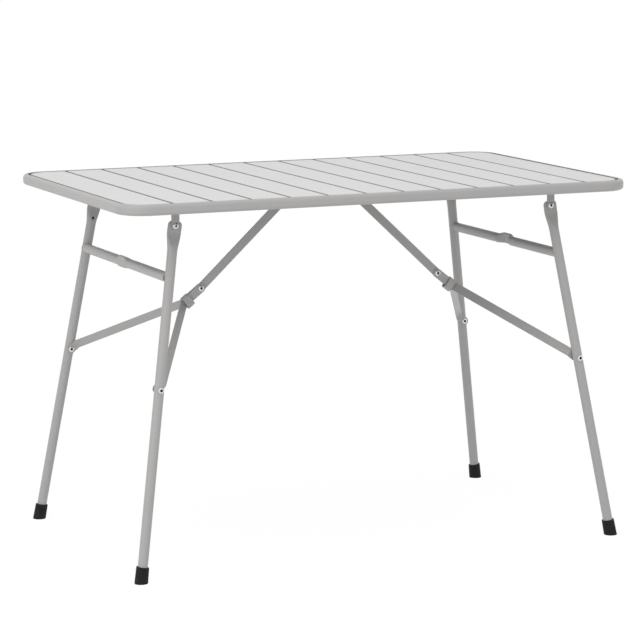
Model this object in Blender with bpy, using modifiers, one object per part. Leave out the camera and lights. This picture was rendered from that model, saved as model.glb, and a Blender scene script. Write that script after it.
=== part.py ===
"""Folding catering table: slatted steel top on two folding pairs of tube legs.

Metres, +Z up. The origin lies on the floor under the middle of the top, +X runs along the
table's length and +Y across it. The table stands open, with its braces locked.
"""
import math

import bmesh
import bpy
from mathutils import Matrix, Vector

# Overall size
TABLE_LENGTH = 1.100
TABLE_WIDTH = 0.672
TABLE_HEIGHT = 0.740
RUNNING_GAP = 0.0003

# Rim: a band of sheet with its lips turned in
RIM_DEPTH = 0.0215
RIM_LIP = 0.0095
RIM_FOOT_LIP = 0.0160
RIM_SHEET = 0.0015
RIM_CORNER_RADIUS = 0.058
RIM_EDGE_RADIUS = 0.0072

# Slats: pressed pans of sheet, with a flange turned down all round
SLAT_COUNT = 13
END_SLAT_WIDTH = 0.0867
SLAT_GROOVE = 0.0035
SLAT_RIM_GAP = 0.0060
SLAT_SHEET = 0.0012
SLAT_FLANGE = 0.0070
SLAT_EDGE_RADIUS = 0.0030
SLAT_CORNER_RADIUS = 0.0055
SLAT_CORNER_STEPS = 3
SLAT_DROP = 0.0004

# Flat bars under the slats
RAIL_SPREAD = 0.200
RAIL_WIDTH = 0.020
RAIL_DEPTH = 0.0060
CROSS_RAIL_WIDTH = 0.020

# Legs
PIVOT_INSET = 0.1389
PIVOT_DROP = 0.0550
PIVOT_SIDE_INSET = 0.1010
FOOT_INSET = 0.0318
FOOT_SIDE_INSET = 0.0212
LEG_RADIUS = 0.0100
LEG_WALL = 0.0012
PADDLE_THICKNESS = 0.0032
PADDLE_ABOVE = 0.0090
PADDLE_BELOW = 0.0130
PADDLE_CORNER = 0.0085
MORPH_LENGTH = 0.0400
MORPH_STEPS = 8
SIDE_HOLE_DROP = 0.0370
SIDE_HOLE_RADIUS = 0.0028
SECTION_POINTS = 24

# Crossbar
CROSSBAR_DROP = 0.1017
CROSSBAR_OFFSET = 0.0030
CROSSBAR_END_INSET = 0.0060
CROSSBAR_RADIUS = 0.0098
CROSSBAR_WALL = 0.0012
CROSSBAR_VENT_RADIUS = 0.0020
SADDLE_THICKNESS = 0.0070
SADDLE_SPREAD = 0.0018
SADDLE_LIFT = 0.0009
SADDLE_HALF_LENGTH = 0.0130
SADDLE_RUN_OUT = 0.0180

# Rubber feet
CAP_LENGTH = 0.0320
CAP_FLOOR = 0.0060
CAP_TOP_RADIUS = 0.0127
CAP_BOTTOM_RADIUS = 0.0136
CAP_RIB_HEIGHT = 0.0006
CAP_RIBS = 16

# Brackets
BRACKET_SHEET = 0.0025
LEG_TAB_WIDTH = 0.0165
LEG_BRACKET_FOOT = 0.0260
BRACE_TAB_WIDTH = 0.0180
BEND_RADIUS = 0.0020
BEND_STEPS = 4

# Brace
BRACE_SPREAD = 0.0810
BRACE_DROP = 0.0438
KNEE_INSET = 0.1432
KNEE_DROP = 0.1624
STRAP_WIDTH = 0.0176
STRAP_THICKNESS = 0.0030
FORK_WIDTH = 0.0180
FORK_THICKNESS = 0.0025
FORK_RIVET_DROP = 0.3186
FORK_BEND_RADIUS = 0.0060
FORK_HEEL = 0.0130
FORK_LEG_GAP = 0.0022
OUTLINE_STEPS = 8

# Lock ring
RING_OFFSET = 0.0380
RING_LENGTH = 0.0164
RING_NOSE_LAP = 0.0012
RING_WALL = 0.0020
RING_HEIGHT_PLAY = 0.0026
RING_SIDE_PLAY = 0.0004
RING_CORNER_RADIUS = 0.0030

# Tubular rivets
RIVET_SHANK_RADIUS = 0.0034
RIVET_BORE_RADIUS = 0.0024
RIVET_HEAD_RADIUS = 0.0060
RIVET_HEAD_HEIGHT = 0.0020
RIVET_HOLE_RADIUS = RIVET_SHANK_RADIUS + RUNNING_GAP
RIVET_STEPS = 16

# Heights that follow from the sizes above
RIM_BOTTOM = TABLE_HEIGHT - RIM_DEPTH
SLAT_TOP = TABLE_HEIGHT - SLAT_DROP
RAIL_TOP = SLAT_TOP - SLAT_FLANGE - RUNNING_GAP
CROSS_RAIL_TOP = RAIL_TOP - RAIL_DEPTH - RUNNING_GAP
CROSS_RAIL_BOTTOM = RIM_BOTTOM + RIM_SHEET + RUNNING_GAP
BRACKET_TOP = CROSS_RAIL_BOTTOM - RUNNING_GAP

# Places that follow from the sizes above, on the right-hand end
PIVOT_X = TABLE_LENGTH / 2 - PIVOT_INSET
PIVOT_Y = TABLE_WIDTH / 2 - PIVOT_SIDE_INSET
PIVOT_Z = TABLE_HEIGHT - PIVOT_DROP
FOOT_X = TABLE_LENGTH / 2 - FOOT_INSET
FOOT_Y = TABLE_WIDTH / 2 - FOOT_SIDE_INSET
BRACE_X = BRACE_SPREAD
BRACE_Z = TABLE_HEIGHT - BRACE_DROP
KNEE_X = PIVOT_X - KNEE_INSET
KNEE_Z = PIVOT_Z - KNEE_DROP
LEG_LENGTH = math.hypot(FOOT_X - PIVOT_X, PIVOT_Z)
LEG_DOWN = Vector((FOOT_X - PIVOT_X, 0.0, -PIVOT_Z)) / LEG_LENGTH
LEG_INWARD = Vector((LEG_DOWN.z, 0.0, -LEG_DOWN.x))
LEG_SPLAY = (FOOT_Y - PIVOT_Y) / (LEG_LENGTH - PADDLE_BELOW)

# Distances across the table, from its middle plane
FORK_INNER_FACE = STRAP_THICKNESS / 2 + RUNNING_GAP
FORK_NOSE_Y = FORK_INNER_FACE + FORK_THICKNESS / 2
KNEE_HEAD_FACE = FORK_INNER_FACE + FORK_THICKNESS + RUNNING_GAP
TAB_INNER_Y = PIVOT_Y + PADDLE_THICKNESS / 2 + RUNNING_GAP

SIDES = {"left": -1, "right": 1}
DEPTHS = {"near": -1, "far": 1}


def clear_scene():
    """Remove the objects of the scene."""
    for obj in list(bpy.data.objects):
        bpy.data.objects.remove(obj, do_unlink=True)


def make_collection(name):
    """Return a new collection linked to the scene."""
    collection = bpy.data.collections.new(name)
    bpy.context.scene.collection.children.link(collection)
    return collection


def make_material(name, colour, roughness, metallic):
    """Return a plain Principled material."""
    material = bpy.data.materials.new(name)
    material.use_nodes = True
    shader = material.node_tree.nodes["Principled BSDF"]
    shader.inputs["Base Color"].default_value = (*colour, 1.0)
    shader.inputs["Roughness"].default_value = roughness
    shader.inputs["Metallic"].default_value = metallic
    return material


clear_scene()
PARTS = make_collection("folding_catering_table")
CUTTERS = make_collection("cutters")
TOP_PAINT = make_material("top_paint", (0.68, 0.68, 0.67), 0.45, 0.0)
FRAME_PAINT = make_material("frame_paint", (0.40, 0.40, 0.39), 0.45, 0.0)
ZINC = make_material("zinc", (0.72, 0.72, 0.74), 0.25, 1.0)
RUBBER = make_material("rubber", (0.02, 0.02, 0.02), 0.7, 0.0)


def new_object(name, mesh, material=None, collection=PARTS):
    """Link a mesh as an object, with its round faces shaded smooth."""
    mesh.name = name
    obj = bpy.data.objects.new(name, mesh)
    collection.objects.link(obj)
    if material is not None:
        mesh.materials.clear()
        mesh.materials.append(material)
        mesh.shade_smooth()
        mesh.set_sharp_from_angle(angle=math.radians(35.0))
    return obj


def mesh_from_bmesh(bm):
    """Turn the faces of a closed bmesh outward and return it as a mesh."""
    bmesh.ops.recalc_face_normals(bm, faces=bm.faces)
    if bm.calc_volume(signed=True) < 0.0:
        bmesh.ops.reverse_faces(bm, faces=bm.faces)
    mesh = bpy.data.meshes.new("shape")
    bm.to_mesh(mesh)
    bm.free()
    return mesh


def curve_mesh(curve):
    """Return the welded mesh of a curve's data, and remove the curve."""
    holder = bpy.data.objects.new("outline", curve)
    bpy.context.scene.collection.objects.link(holder)
    bpy.context.view_layer.update()
    evaluated = holder.evaluated_get(bpy.context.evaluated_depsgraph_get())
    mesh = bpy.data.meshes.new_from_object(evaluated)
    bpy.data.objects.remove(holder, do_unlink=True)
    bpy.data.curves.remove(curve)
    bm = bmesh.new()
    bm.from_mesh(mesh)
    bpy.data.meshes.remove(mesh)
    bmesh.ops.remove_doubles(bm, verts=bm.verts, dist=0.000005)
    return mesh_from_bmesh(bm)


def add_spline(curve, points):
    """Add a closed straight-sided spline through flat points."""
    spline = curve.splines.new("POLY")
    spline.points.add(len(points) - 1)
    for control, (across, up) in zip(spline.points, points):
        control.co = (across, up, 0.0, 1.0)
    spline.use_cyclic_u = True


def sheet_mesh(loops, thickness):
    """Return a flat sheet cut to closed loops, in the XY plane, centred on it."""
    curve = bpy.data.curves.new("sheet", "CURVE")
    curve.dimensions = "2D"
    curve.fill_mode = "BOTH"
    curve.extrude = thickness / 2
    for loop in loops:
        add_spline(curve, loop)
    return curve_mesh(curve)


def arc(centre, radius, start, end, steps):
    """Return points on an arc, both ends included, with angles in degrees."""
    points = []
    for step in range(steps + 1):
        angle = math.radians(start + (end - start) * step / steps)
        points.append((centre[0] + radius * math.cos(angle), centre[1] + radius * math.sin(angle)))
    return points


def circle(centre, radius, steps):
    """Return the points of a closed circle."""
    return arc(centre, radius, 0.0, 360.0 * (steps - 1) / steps, steps - 1)


def bar_outline(length, width):
    """Return a bar with round ends, whose end centres lie at 0 and at its length."""
    far_end = arc((length, 0.0), width / 2, -90.0, 90.0, OUTLINE_STEPS)
    near_end = arc((0.0, 0.0), width / 2, 90.0, 270.0, OUTLINE_STEPS)
    return far_end + near_end


def rivet_hole(distance):
    """Return the outline of a rivet hole on a bar's centre line."""
    return circle((distance, 0.0), RIVET_HOLE_RADIUS, RIVET_STEPS)


def basis(origin, x_axis, y_axis, z_axis):
    """Return the matrix that carries flat work onto three axes at a place."""
    matrix = Matrix.Identity(4)
    for column, axis in enumerate((x_axis, y_axis, z_axis)):
        for row in range(3):
            matrix[row][column] = axis[row]
    matrix.translation = origin
    return matrix


def transformed(mesh, matrix):
    """Move a mesh by a matrix and keep its faces outward."""
    mesh.transform(matrix)
    if matrix.determinant() < 0:
        mesh.flip_normals()
    return mesh


def ring_mesh(rings, closed=False):
    """Join equal rings of points by quads, with end faces unless the chain is closed."""
    bm = bmesh.new()
    loops = [[bm.verts.new(point) for point in ring] for ring in rings]
    pairs = list(zip(loops, loops[1:]))
    if closed:
        pairs.append((loops[-1], loops[0]))
    else:
        bm.faces.new(loops[0])
        bm.faces.new(loops[-1])
    for first, second in pairs:
        for index in range(len(first)):
            after = (index + 1) % len(first)
            bm.faces.new((first[index], first[after], second[after], second[index]))
    return mesh_from_bmesh(bm)


def box_mesh(low, high):
    """Return a box between two opposite corners."""
    bm = bmesh.new()
    bmesh.ops.create_cube(bm, size=1.0)
    size = [b - a for a, b in zip(low, high)]
    middle = [(a + b) / 2 for a, b in zip(low, high)]
    bmesh.ops.scale(bm, vec=size, verts=bm.verts)
    bmesh.ops.translate(bm, vec=middle, verts=bm.verts)
    return mesh_from_bmesh(bm)


def make_cutter(name, mesh):
    """Link a mesh as a hidden wire cutter."""
    cutter = new_object(name, mesh, collection=CUTTERS)
    cutter.hide_render = True
    cutter.display_type = "WIRE"
    return cutter


def pin_cutter(name, x, z, y_low, y_high, radius):
    """Return a round cutter that runs across the table."""
    bm = bmesh.new()
    bmesh.ops.create_cone(bm, cap_ends=True, segments=RIVET_STEPS, radius1=radius, radius2=radius,
                          depth=y_high - y_low)
    bmesh.ops.rotate(bm, matrix=Matrix.Rotation(math.radians(90.0), 3, "X"), verts=bm.verts)
    bmesh.ops.translate(bm, vec=(x, (y_low + y_high) / 2, z), verts=bm.verts)
    return make_cutter(name, mesh_from_bmesh(bm))


def cut(obj, cutter):
    """Cut an object by a cutter that stays live."""
    modifier = obj.modifiers.new(cutter.name, "BOOLEAN")
    modifier.object = cutter
    modifier.operation = "DIFFERENCE"
    modifier.solver = "EXACT"


def make_pivot(name, location):
    """Return an empty on a joint's axis, which carries the pieces that turn about it."""
    pivot = bpy.data.objects.new(name, None)
    pivot.location = location
    pivot.empty_display_size = 0.02
    PARTS.objects.link(pivot)
    return pivot


def hang(obj, pivot, axis_place):
    """Put an object's origin on a joint's axis and parent it to the pivot there."""
    obj.data.transform(Matrix.Translation(-axis_place))
    obj.parent = pivot
    return obj


# Bent sheet

def bend_path(start, heading, pieces):
    """Lay out a bent centre line.

    Pieces are pairs of an arc's length and its turn in radians; a straight run has no turn.
    The result lists, for each piece, its first distance, place, heading, length and turn.
    """
    laid = []
    distance = 0.0
    place = Vector(start)
    for length, turn in pieces:
        laid.append((distance, place.copy(), heading, length, turn))
        place = path_point(laid, distance + length)[0]
        heading += turn
        distance += length
    return laid


def path_point(laid, distance):
    """Return the place and the heading of a bent centre line at a distance along it."""
    piece = laid[0]
    for candidate in laid:
        if distance >= candidate[0]:
            piece = candidate
    first, place, heading, length, turn = piece
    along = distance - first
    if turn == 0.0:
        return place + along * Vector((math.cos(heading), math.sin(heading))), heading
    radius = length / turn
    angle = heading + turn * along / length
    centre = place + radius * Vector((-math.sin(heading), math.cos(heading)))
    return centre - radius * Vector((-math.sin(angle), math.cos(angle))), angle


def s_bend(along, out, radius):
    """Return the straight run and the turn of two equal, opposite bends that step sideways."""
    straight = math.sqrt(along ** 2 + (out - 2 * radius) ** 2 - 4 * radius ** 2)
    turn = math.atan2(out - 2 * radius, along) + math.atan2(2 * radius, straight)
    return straight, turn


def bent_mesh(flat, laid, origin, along, outward, width):
    """Bend a flat sheet, which runs along +X, over a laid-out centre line."""
    bm = bmesh.new()
    bm.from_mesh(flat)
    bpy.data.meshes.remove(flat)
    for first, _, _, length, turn in laid:
        if turn == 0.0:
            continue
        for step in range(BEND_STEPS + 1):
            station = first + length * step / BEND_STEPS
            everything = bm.verts[:] + bm.edges[:] + bm.faces[:]
            bmesh.ops.bisect_plane(bm, geom=everything, dist=0.000001, plane_co=(station, 0.0, 0.0),
                                   plane_no=(1.0, 0.0, 0.0))
    for vert in bm.verts:
        place, heading = path_point(laid, vert.co.x)
        place = place + vert.co.z * Vector((-math.sin(heading), math.cos(heading)))
        vert.co = origin + place.x * along + place.y * outward + vert.co.y * width
    return mesh_from_bmesh(bm)


# The top

def rim_profile():
    """Return the rim's section as points of a distance in from its face and a height."""
    round_out = RIM_EDGE_RADIUS
    round_in = RIM_EDGE_RADIUS - RIM_SHEET
    low = -RIM_DEPTH
    points = [(RIM_LIP, 0.0)]
    points += arc((round_out, -round_out), round_out, 90.0, 180.0, 4)
    points += arc((round_out, low + round_out), round_out, 180.0, 270.0, 4)
    points += [(RIM_FOOT_LIP, low), (RIM_FOOT_LIP, low + RIM_SHEET)]
    points += arc((round_out, low + round_out), round_in, 270.0, 180.0, 4)
    points += arc((round_out, -round_out), round_in, 180.0, 90.0, 4)
    points += [(RIM_LIP, -RIM_SHEET)]
    return points


def rounded_rectangle(length, width, radius, steps):
    """Return a rounded rectangle's points, counter-clockwise, about the origin."""
    points = []
    for start, sign_x, sign_y in ((0.0, 1, 1), (90.0, -1, 1), (180.0, -1, -1), (270.0, 1, -1)):
        centre = (sign_x * (length / 2 - radius), sign_y * (width / 2 - radius))
        points += arc(centre, radius, start, start + 90.0, steps)
    return points


def make_rim():
    """Sweep the rim's section round the top."""
    length = TABLE_LENGTH / 2 - RIM_CORNER_RADIUS
    width = TABLE_WIDTH / 2 - RIM_CORNER_RADIUS
    rings = []
    for quarter, (sign_x, sign_y) in enumerate(((1, 1), (-1, 1), (-1, -1), (1, -1))):
        centre = Vector((sign_x * length, sign_y * width, TABLE_HEIGHT))
        for step in range(OUTLINE_STEPS + 1):
            angle = math.radians(90.0 * (quarter + step / OUTLINE_STEPS))
            outward = Vector((math.cos(angle), math.sin(angle), 0.0))
            rings.append([centre + outward * (RIM_CORNER_RADIUS - inset) + Vector((0.0, 0.0, height))
                          for inset, height in rim_profile()])
    return new_object("top_rim", ring_mesh(rings, closed=True), FRAME_PAINT)


def slat_edges():
    """Return the low and high X of each slat, from the left."""
    inner_half = TABLE_LENGTH / 2 - RIM_LIP - SLAT_RIM_GAP
    first = -inner_half + END_SLAT_WIDTH + SLAT_GROOVE
    middle_count = SLAT_COUNT - 2
    width = (-2 * first - (middle_count - 1) * SLAT_GROOVE) / middle_count
    edges = [(-inner_half, -inner_half + END_SLAT_WIDTH)]
    for index in range(middle_count):
        low = first + index * (width + SLAT_GROOVE)
        edges.append((low, low + width))
    edges.append((inner_half - END_SLAT_WIDTH, inner_half))
    return edges


def pan_section():
    """Return a slat's section from its inner top to its outer top, as inset and height."""
    bend = SLAT_EDGE_RADIUS
    inner = arc((bend, -bend), bend - SLAT_SHEET, 90.0, 180.0, 2) + [(SLAT_SHEET, -SLAT_FLANGE)]
    outer = [(0.0, -SLAT_FLANGE)] + arc((bend, -bend), bend, 180.0, 90.0, 4)
    return inner + outer


def pan_corners(low, high):
    """Return a slat's corners, counter-clockwise, as centre, radius, first angle and steps."""
    end = TABLE_LENGTH / 2 - RIM_LIP - SLAT_RIM_GAP
    reach = TABLE_WIDTH / 2 - RIM_LIP - SLAT_RIM_GAP
    corners = []
    for start, sign_x, sign_y in ((0.0, 1, 1), (90.0, -1, 1), (180.0, -1, -1), (270.0, 1, -1)):
        edge = high if sign_x > 0 else low
        at_end = math.isclose(abs(edge), end)
        radius = RIM_CORNER_RADIUS - RIM_LIP - SLAT_RIM_GAP if at_end else SLAT_CORNER_RADIUS
        steps = OUTLINE_STEPS if at_end else SLAT_CORNER_STEPS
        corners.append((Vector((edge - sign_x * radius, sign_y * (reach - radius), SLAT_TOP)), radius,
                        start, steps))
    return corners


def make_slats():
    """Lay the slats side by side inside the rim."""
    for number, (low, high) in enumerate(slat_edges(), start=1):
        rings = []
        for inset, height in pan_section():
            ring = []
            for centre, radius, start, steps in pan_corners(low, high):
                ring += [centre + Vector((across, along, height))
                         for across, along in arc((0.0, 0.0), radius - inset, start, start + 90.0, steps)]
            rings.append(ring)
        new_object(f"slat_{number:02d}", ring_mesh(rings), TOP_PAINT)


def make_rails():
    """Lay the flat bars that carry the slats and the brackets."""
    half_length = TABLE_LENGTH / 2 - RIM_EDGE_RADIUS - RUNNING_GAP
    half_width = TABLE_WIDTH / 2 - RIM_EDGE_RADIUS - RUNNING_GAP
    for depth, sign in DEPTHS.items():
        middle = sign * RAIL_SPREAD / 2
        mesh = box_mesh((-half_length, middle - RAIL_WIDTH / 2, RAIL_TOP - RAIL_DEPTH),
                        (half_length, middle + RAIL_WIDTH / 2, RAIL_TOP))
        new_object(f"rail_{depth}", mesh, TOP_PAINT)
    for side, sign in SIDES.items():
        for place, middle in (("outer", sign * PIVOT_X), ("inner", sign * BRACE_X)):
            mesh = box_mesh((middle - CROSS_RAIL_WIDTH / 2, -half_width, CROSS_RAIL_BOTTOM),
                            (middle + CROSS_RAIL_WIDTH / 2, half_width, CROSS_RAIL_TOP))
            new_object(f"cross_rail_{side}_{place}", mesh, TOP_PAINT)


def make_leg_bracket(side, depth):
    """Bend the tab that a leg hangs on: a foot under the cross rail and a rounded tab."""
    sign = DEPTHS[depth]
    tab_middle = TAB_INNER_Y + BRACKET_SHEET / 2
    bend = BEND_RADIUS + BRACKET_SHEET / 2
    foot_height = BRACKET_TOP - BRACKET_SHEET / 2
    foot_run = LEG_BRACKET_FOOT - bend
    tab_run = foot_height - bend - PIVOT_Z
    arc_length = bend * math.pi / 2
    reach = foot_run + arc_length + tab_run
    half = LEG_TAB_WIDTH / 2
    outline = [(0.0, -half)] + arc((reach, 0.0), half, -90.0, 90.0, OUTLINE_STEPS) + [(0.0, half)]
    flat = sheet_mesh([outline, rivet_hole(reach)], BRACKET_SHEET)
    laid = bend_path((0.0, 0.0), 0.0, [(foot_run, 0.0), (arc_length, -math.pi / 2), (tab_run + half, 0.0)])
    origin = Vector((SIDES[side] * PIVOT_X, sign * (tab_middle - bend - foot_run), foot_height))
    mesh = bent_mesh(flat, laid, origin, Vector((0, sign, 0)), Vector((0, 0, 1)), Vector((1, 0, 0)))
    return new_object(f"leg_bracket_{side}_{depth}", mesh, FRAME_PAINT)


def make_brace_bracket(side):
    """Bend the double-eared bracket that the upper strap hangs in."""
    half = BRACE_TAB_WIDTH / 2
    bend = BRACKET_SHEET
    web_height = BRACKET_TOP - BRACKET_SHEET / 2
    ear_run = web_height - bend - BRACE_Z
    arc_length = bend * math.pi / 2
    ear_middle = FORK_INNER_FACE + BRACKET_SHEET / 2
    web_run = 2 * (ear_middle - bend)
    reach = 2 * ear_run + 2 * arc_length + web_run
    flat = sheet_mesh([bar_outline(reach, BRACE_TAB_WIDTH), rivet_hole(0.0), rivet_hole(reach)],
                      BRACKET_SHEET)
    flat.transform(Matrix.Translation((half, 0.0, 0.0)))
    laid = bend_path((-ear_middle, BRACE_Z - half), math.pi / 2,
                     [(half + ear_run, 0.0), (arc_length, -math.pi / 2), (web_run, 0.0),
                      (arc_length, -math.pi / 2), (ear_run + half, 0.0)])
    origin = Vector((SIDES[side] * BRACE_X, 0.0, 0.0))
    mesh = bent_mesh(flat, laid, origin, Vector((0, 1, 0)), Vector((0, 0, 1)), Vector((1, 0, 0)))
    return new_object(f"brace_bracket_{side}", mesh, FRAME_PAINT)


# Rivets

def head_profile(face, outward):
    """Return a rivet head's section, from the shank's face to the bore, as radius and distance."""
    height = RIVET_HEAD_HEIGHT
    lip = height * 0.4
    top = face + outward * height
    return [(RIVET_SHANK_RADIUS, face), (RIVET_HEAD_RADIUS, face), (RIVET_HEAD_RADIUS, face + outward * lip),
            (RIVET_HEAD_RADIUS - lip, top), (RIVET_BORE_RADIUS + lip, top),
            (RIVET_BORE_RADIUS, face + outward * lip)]


def make_rivet(name, x, z, low, high, head_low=True, head_high=True):
    """Turn a tubular rivet across the table; low and high are the faces under its heads."""
    section = head_profile(high, 1.0) if head_high else [(RIVET_SHANK_RADIUS, high),
                                                         (RIVET_BORE_RADIUS, high)]
    bottom = head_profile(low, -1.0) if head_low else [(RIVET_SHANK_RADIUS, low), (RIVET_BORE_RADIUS, low)]
    loop = section[::-1] + bottom
    mesh = bpy.data.meshes.new(name)
    edges = [(index, (index + 1) % len(loop)) for index in range(len(loop))]
    mesh.from_pydata([(radius, 0.0, distance) for radius, distance in loop], edges, [])
    rivet = new_object(name, mesh, ZINC)
    screw = rivet.modifiers.new("turn", "SCREW")
    screw.angle = math.radians(360.0)
    screw.steps = RIVET_STEPS
    screw.render_steps = RIVET_STEPS
    screw.merge_threshold = 0.000001
    screw.use_smooth_shade = False
    rivet.location = (x, 0.0, z)
    rivet.rotation_euler = (math.radians(-90.0), 0.0, 0.0)
    return rivet


def mirrored_span(sign, inner, outer):
    """Return the low and high of a span that lies to one side of the middle."""
    return (inner, outer) if sign > 0 else (-outer, -inner)


# Legs

def leg_axis_y(drop):
    """Return a leg's distance from the middle plane at a distance below its pivot."""
    return PIVOT_Y + max(0.0, drop - PADDLE_BELOW) * LEG_SPLAY


def leg_place(side, depth, drop, inward, outward):
    """Return a place beside a leg's axis, on the side and depth given by their signs."""
    place = Vector((PIVOT_X, 0.0, PIVOT_Z)) + drop * LEG_DOWN + inward * LEG_INWARD
    return Vector((side * place.x, depth * (leg_axis_y(drop) + outward), place.z))


def stadium_section(flat, radius):
    """Return a section's points: a circle whose halves stand apart by a flat run each side."""
    points = []
    for index in range(SECTION_POINTS):
        angle = 2 * math.pi * (index + 0.5) / SECTION_POINTS
        points.append((math.copysign(flat, math.cos(angle)) + radius * math.cos(angle),
                       radius * math.sin(angle)))
    return points


def pressed_flat(round_radius, radius):
    """Return the flat run that keeps the girth of a round tube when it is pressed thinner."""
    return (round_radius - radius) * math.pi / 2


def leg_stations():
    """Return the leg's outer sections from the foot up, as drop, flat run and radius."""
    thin = PADDLE_THICKNESS / 2
    wide = pressed_flat(LEG_RADIUS, thin)
    stations = [(tube_end_drop(), 0.0, LEG_RADIUS)]
    for step in range(MORPH_STEPS, -1, -1):
        part = step / MORPH_STEPS
        radius = thin + (LEG_RADIUS - thin) * part * part * (3 - 2 * part)
        stations.append((PADDLE_BELOW + MORPH_LENGTH * part, pressed_flat(LEG_RADIUS, radius), radius))
    for angle in (0.0, 30.0, 60.0, 90.0):
        drop = PADDLE_CORNER - PADDLE_ABOVE - PADDLE_CORNER * math.sin(math.radians(angle))
        inset = PADDLE_CORNER * (1 - math.cos(math.radians(angle)))
        stations.append((drop, wide - inset, thin))
    return stations


def tube_end_drop():
    """Return how far below the pivot a leg's tube ends, inside its cap."""
    return LEG_LENGTH - CAP_FLOOR


def leg_ring(side, depth, drop, flat, radius):
    """Return a leg's section as places."""
    return [leg_place(side, depth, drop, inward, outward) for inward, outward in stadium_section(flat, radius)]


def make_leg(side, depth, pivot, axis_place):
    """Loft a tube leg: hollow, with its top pressed flat and drilled."""
    sign, depth_sign = SIDES[side], DEPTHS[depth]
    bore = LEG_RADIUS - LEG_WALL
    bore_top = PADDLE_BELOW + MORPH_LENGTH
    rings = [leg_ring(sign, depth_sign, bore_top, 0.0, bore),
             leg_ring(sign, depth_sign, tube_end_drop(), 0.0, bore)]
    rings += [leg_ring(sign, depth_sign, *station) for station in leg_stations()]
    leg = new_object(f"leg_{side}_{depth}", ring_mesh(rings), FRAME_PAINT)
    reach = 4 * LEG_RADIUS
    for label, drop in (("pivot", 0.0), ("strap", FORK_RIVET_DROP)):
        place = leg_place(sign, depth_sign, drop, 0.0, 0.0)
        cut(leg, pin_cutter(f"{label}_hole_{side}_{depth}", place.x, place.z, place.y - reach,
                            place.y + reach, RIVET_HOLE_RADIUS))
    side_hole = leg_place(sign, depth_sign, SIDE_HOLE_DROP, 0.0, 0.0)
    low, high = mirrored_span(depth_sign, abs(side_hole.y) - 2 * LEG_RADIUS, abs(side_hole.y))
    cut(leg, pin_cutter(f"side_hole_{side}_{depth}", side_hole.x, side_hole.z, low, high,
                        SIDE_HOLE_RADIUS))
    return hang(leg, pivot, axis_place)


def make_cap(side, depth, pivot, axis_place):
    """Loft a ribbed rubber cap over the foot of a leg and cut it level with the floor."""
    sign, depth_sign = SIDES[side], DEPTHS[depth]

    def cap_ring(drop, radius, rib):
        points = []
        for index in range(2 * CAP_RIBS):
            angle = math.pi * index / CAP_RIBS
            reach = radius - rib * (index % 2)
            points.append(leg_place(sign, depth_sign, drop, reach * math.cos(angle), reach * math.sin(angle)))
        return points

    top = LEG_LENGTH - CAP_LENGTH
    bottom = LEG_LENGTH + 2 * CAP_FLOOR
    bore = LEG_RADIUS + RUNNING_GAP
    lip = (CAP_TOP_RADIUS - bore) / 2
    rings = [cap_ring(tube_end_drop() + RUNNING_GAP, bore, 0.0), cap_ring(top, bore, 0.0),
             cap_ring(top, CAP_TOP_RADIUS - lip, 0.0), cap_ring(top + lip, CAP_TOP_RADIUS, 0.0),
             cap_ring(top + 3 * lip, CAP_TOP_RADIUS, CAP_RIB_HEIGHT),
             cap_ring(bottom, CAP_BOTTOM_RADIUS, CAP_RIB_HEIGHT)]
    cap = new_object(f"foot_cap_{side}_{depth}", ring_mesh(rings), RUBBER)
    foot = leg_place(sign, depth_sign, LEG_LENGTH, 0.0, 0.0)
    room = 4 * CAP_BOTTOM_RADIUS
    floor = box_mesh((foot.x - room, foot.y - room, -room), (foot.x + room, foot.y + room, 0.0))
    cut(cap, make_cutter(f"floor_{side}_{depth}", floor))
    return hang(cap, pivot, axis_place)


def crossbar_ring(sign, across, radius, press, wall):
    """Return a section of a crossbar, dented towards its outward side and a little upwards."""
    centre = press * (SADDLE_THICKNESS / 2 - CROSSBAR_RADIUS) - CROSSBAR_OFFSET
    drop = CROSSBAR_DROP - press * SADDLE_LIFT
    flat = CROSSBAR_RADIUS - radius + press * SADDLE_SPREAD
    points = []
    for along, inward in stadium_section(flat, radius - wall):
        place = leg_place(1, 1, drop + along, centre + inward, 0.0)
        points.append(Vector((sign * place.x, across, place.z)))
    return points


def make_crossbar(side, pivot, axis_place):
    """Loft a pair's crossbar: hollow, with vented ends coped to the legs and a pressed saddle."""
    sign = SIDES[side]
    thin = SADDLE_THICKNESS / 2
    end = leg_axis_y(CROSSBAR_DROP) - CROSSBAR_END_INSET
    run_out_steps = 4
    saddle = []
    for step in range(run_out_steps, -1, -1):
        part = step / run_out_steps
        ease = part * part * (3 - 2 * part)
        radius = thin + (CROSSBAR_RADIUS - thin) * ease
        saddle.append((SADDLE_HALF_LENGTH + SADDLE_RUN_OUT * part, radius, 1 - ease))
    saddle = [(-across, radius, press) for across, radius, press in saddle] + saddle[::-1]
    round_end = (CROSSBAR_RADIUS, 0.0)
    outer = [(-end, *round_end)] + saddle + [(end, *round_end)]
    inner = [(end - CROSSBAR_WALL, *round_end)] + saddle[::-1] + [(CROSSBAR_WALL - end, *round_end)]
    plug = CROSSBAR_RADIUS - CROSSBAR_VENT_RADIUS
    rings = [crossbar_ring(sign, *station, 0.0) for station in outer]
    rings += [crossbar_ring(sign, *outer[-1], plug), crossbar_ring(sign, *inner[0], plug)]
    rings += [crossbar_ring(sign, *station, CROSSBAR_WALL) for station in inner]
    rings += [crossbar_ring(sign, *inner[-1], plug), crossbar_ring(sign, *outer[0], plug)]
    bar = new_object(f"crossbar_{side}", ring_mesh(rings, closed=True), FRAME_PAINT)
    for depth, depth_sign in DEPTHS.items():
        reach = 3 * CROSSBAR_RADIUS
        clear_rings = [leg_ring(sign, depth_sign, CROSSBAR_DROP + step * reach, 0.0, LEG_RADIUS + RUNNING_GAP)
                       for step in (-1, 1)]
        cut(bar, make_cutter(f"cope_{side}_{depth}", ring_mesh(clear_rings)))
    return hang(bar, pivot, axis_place)


# Brace

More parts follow.
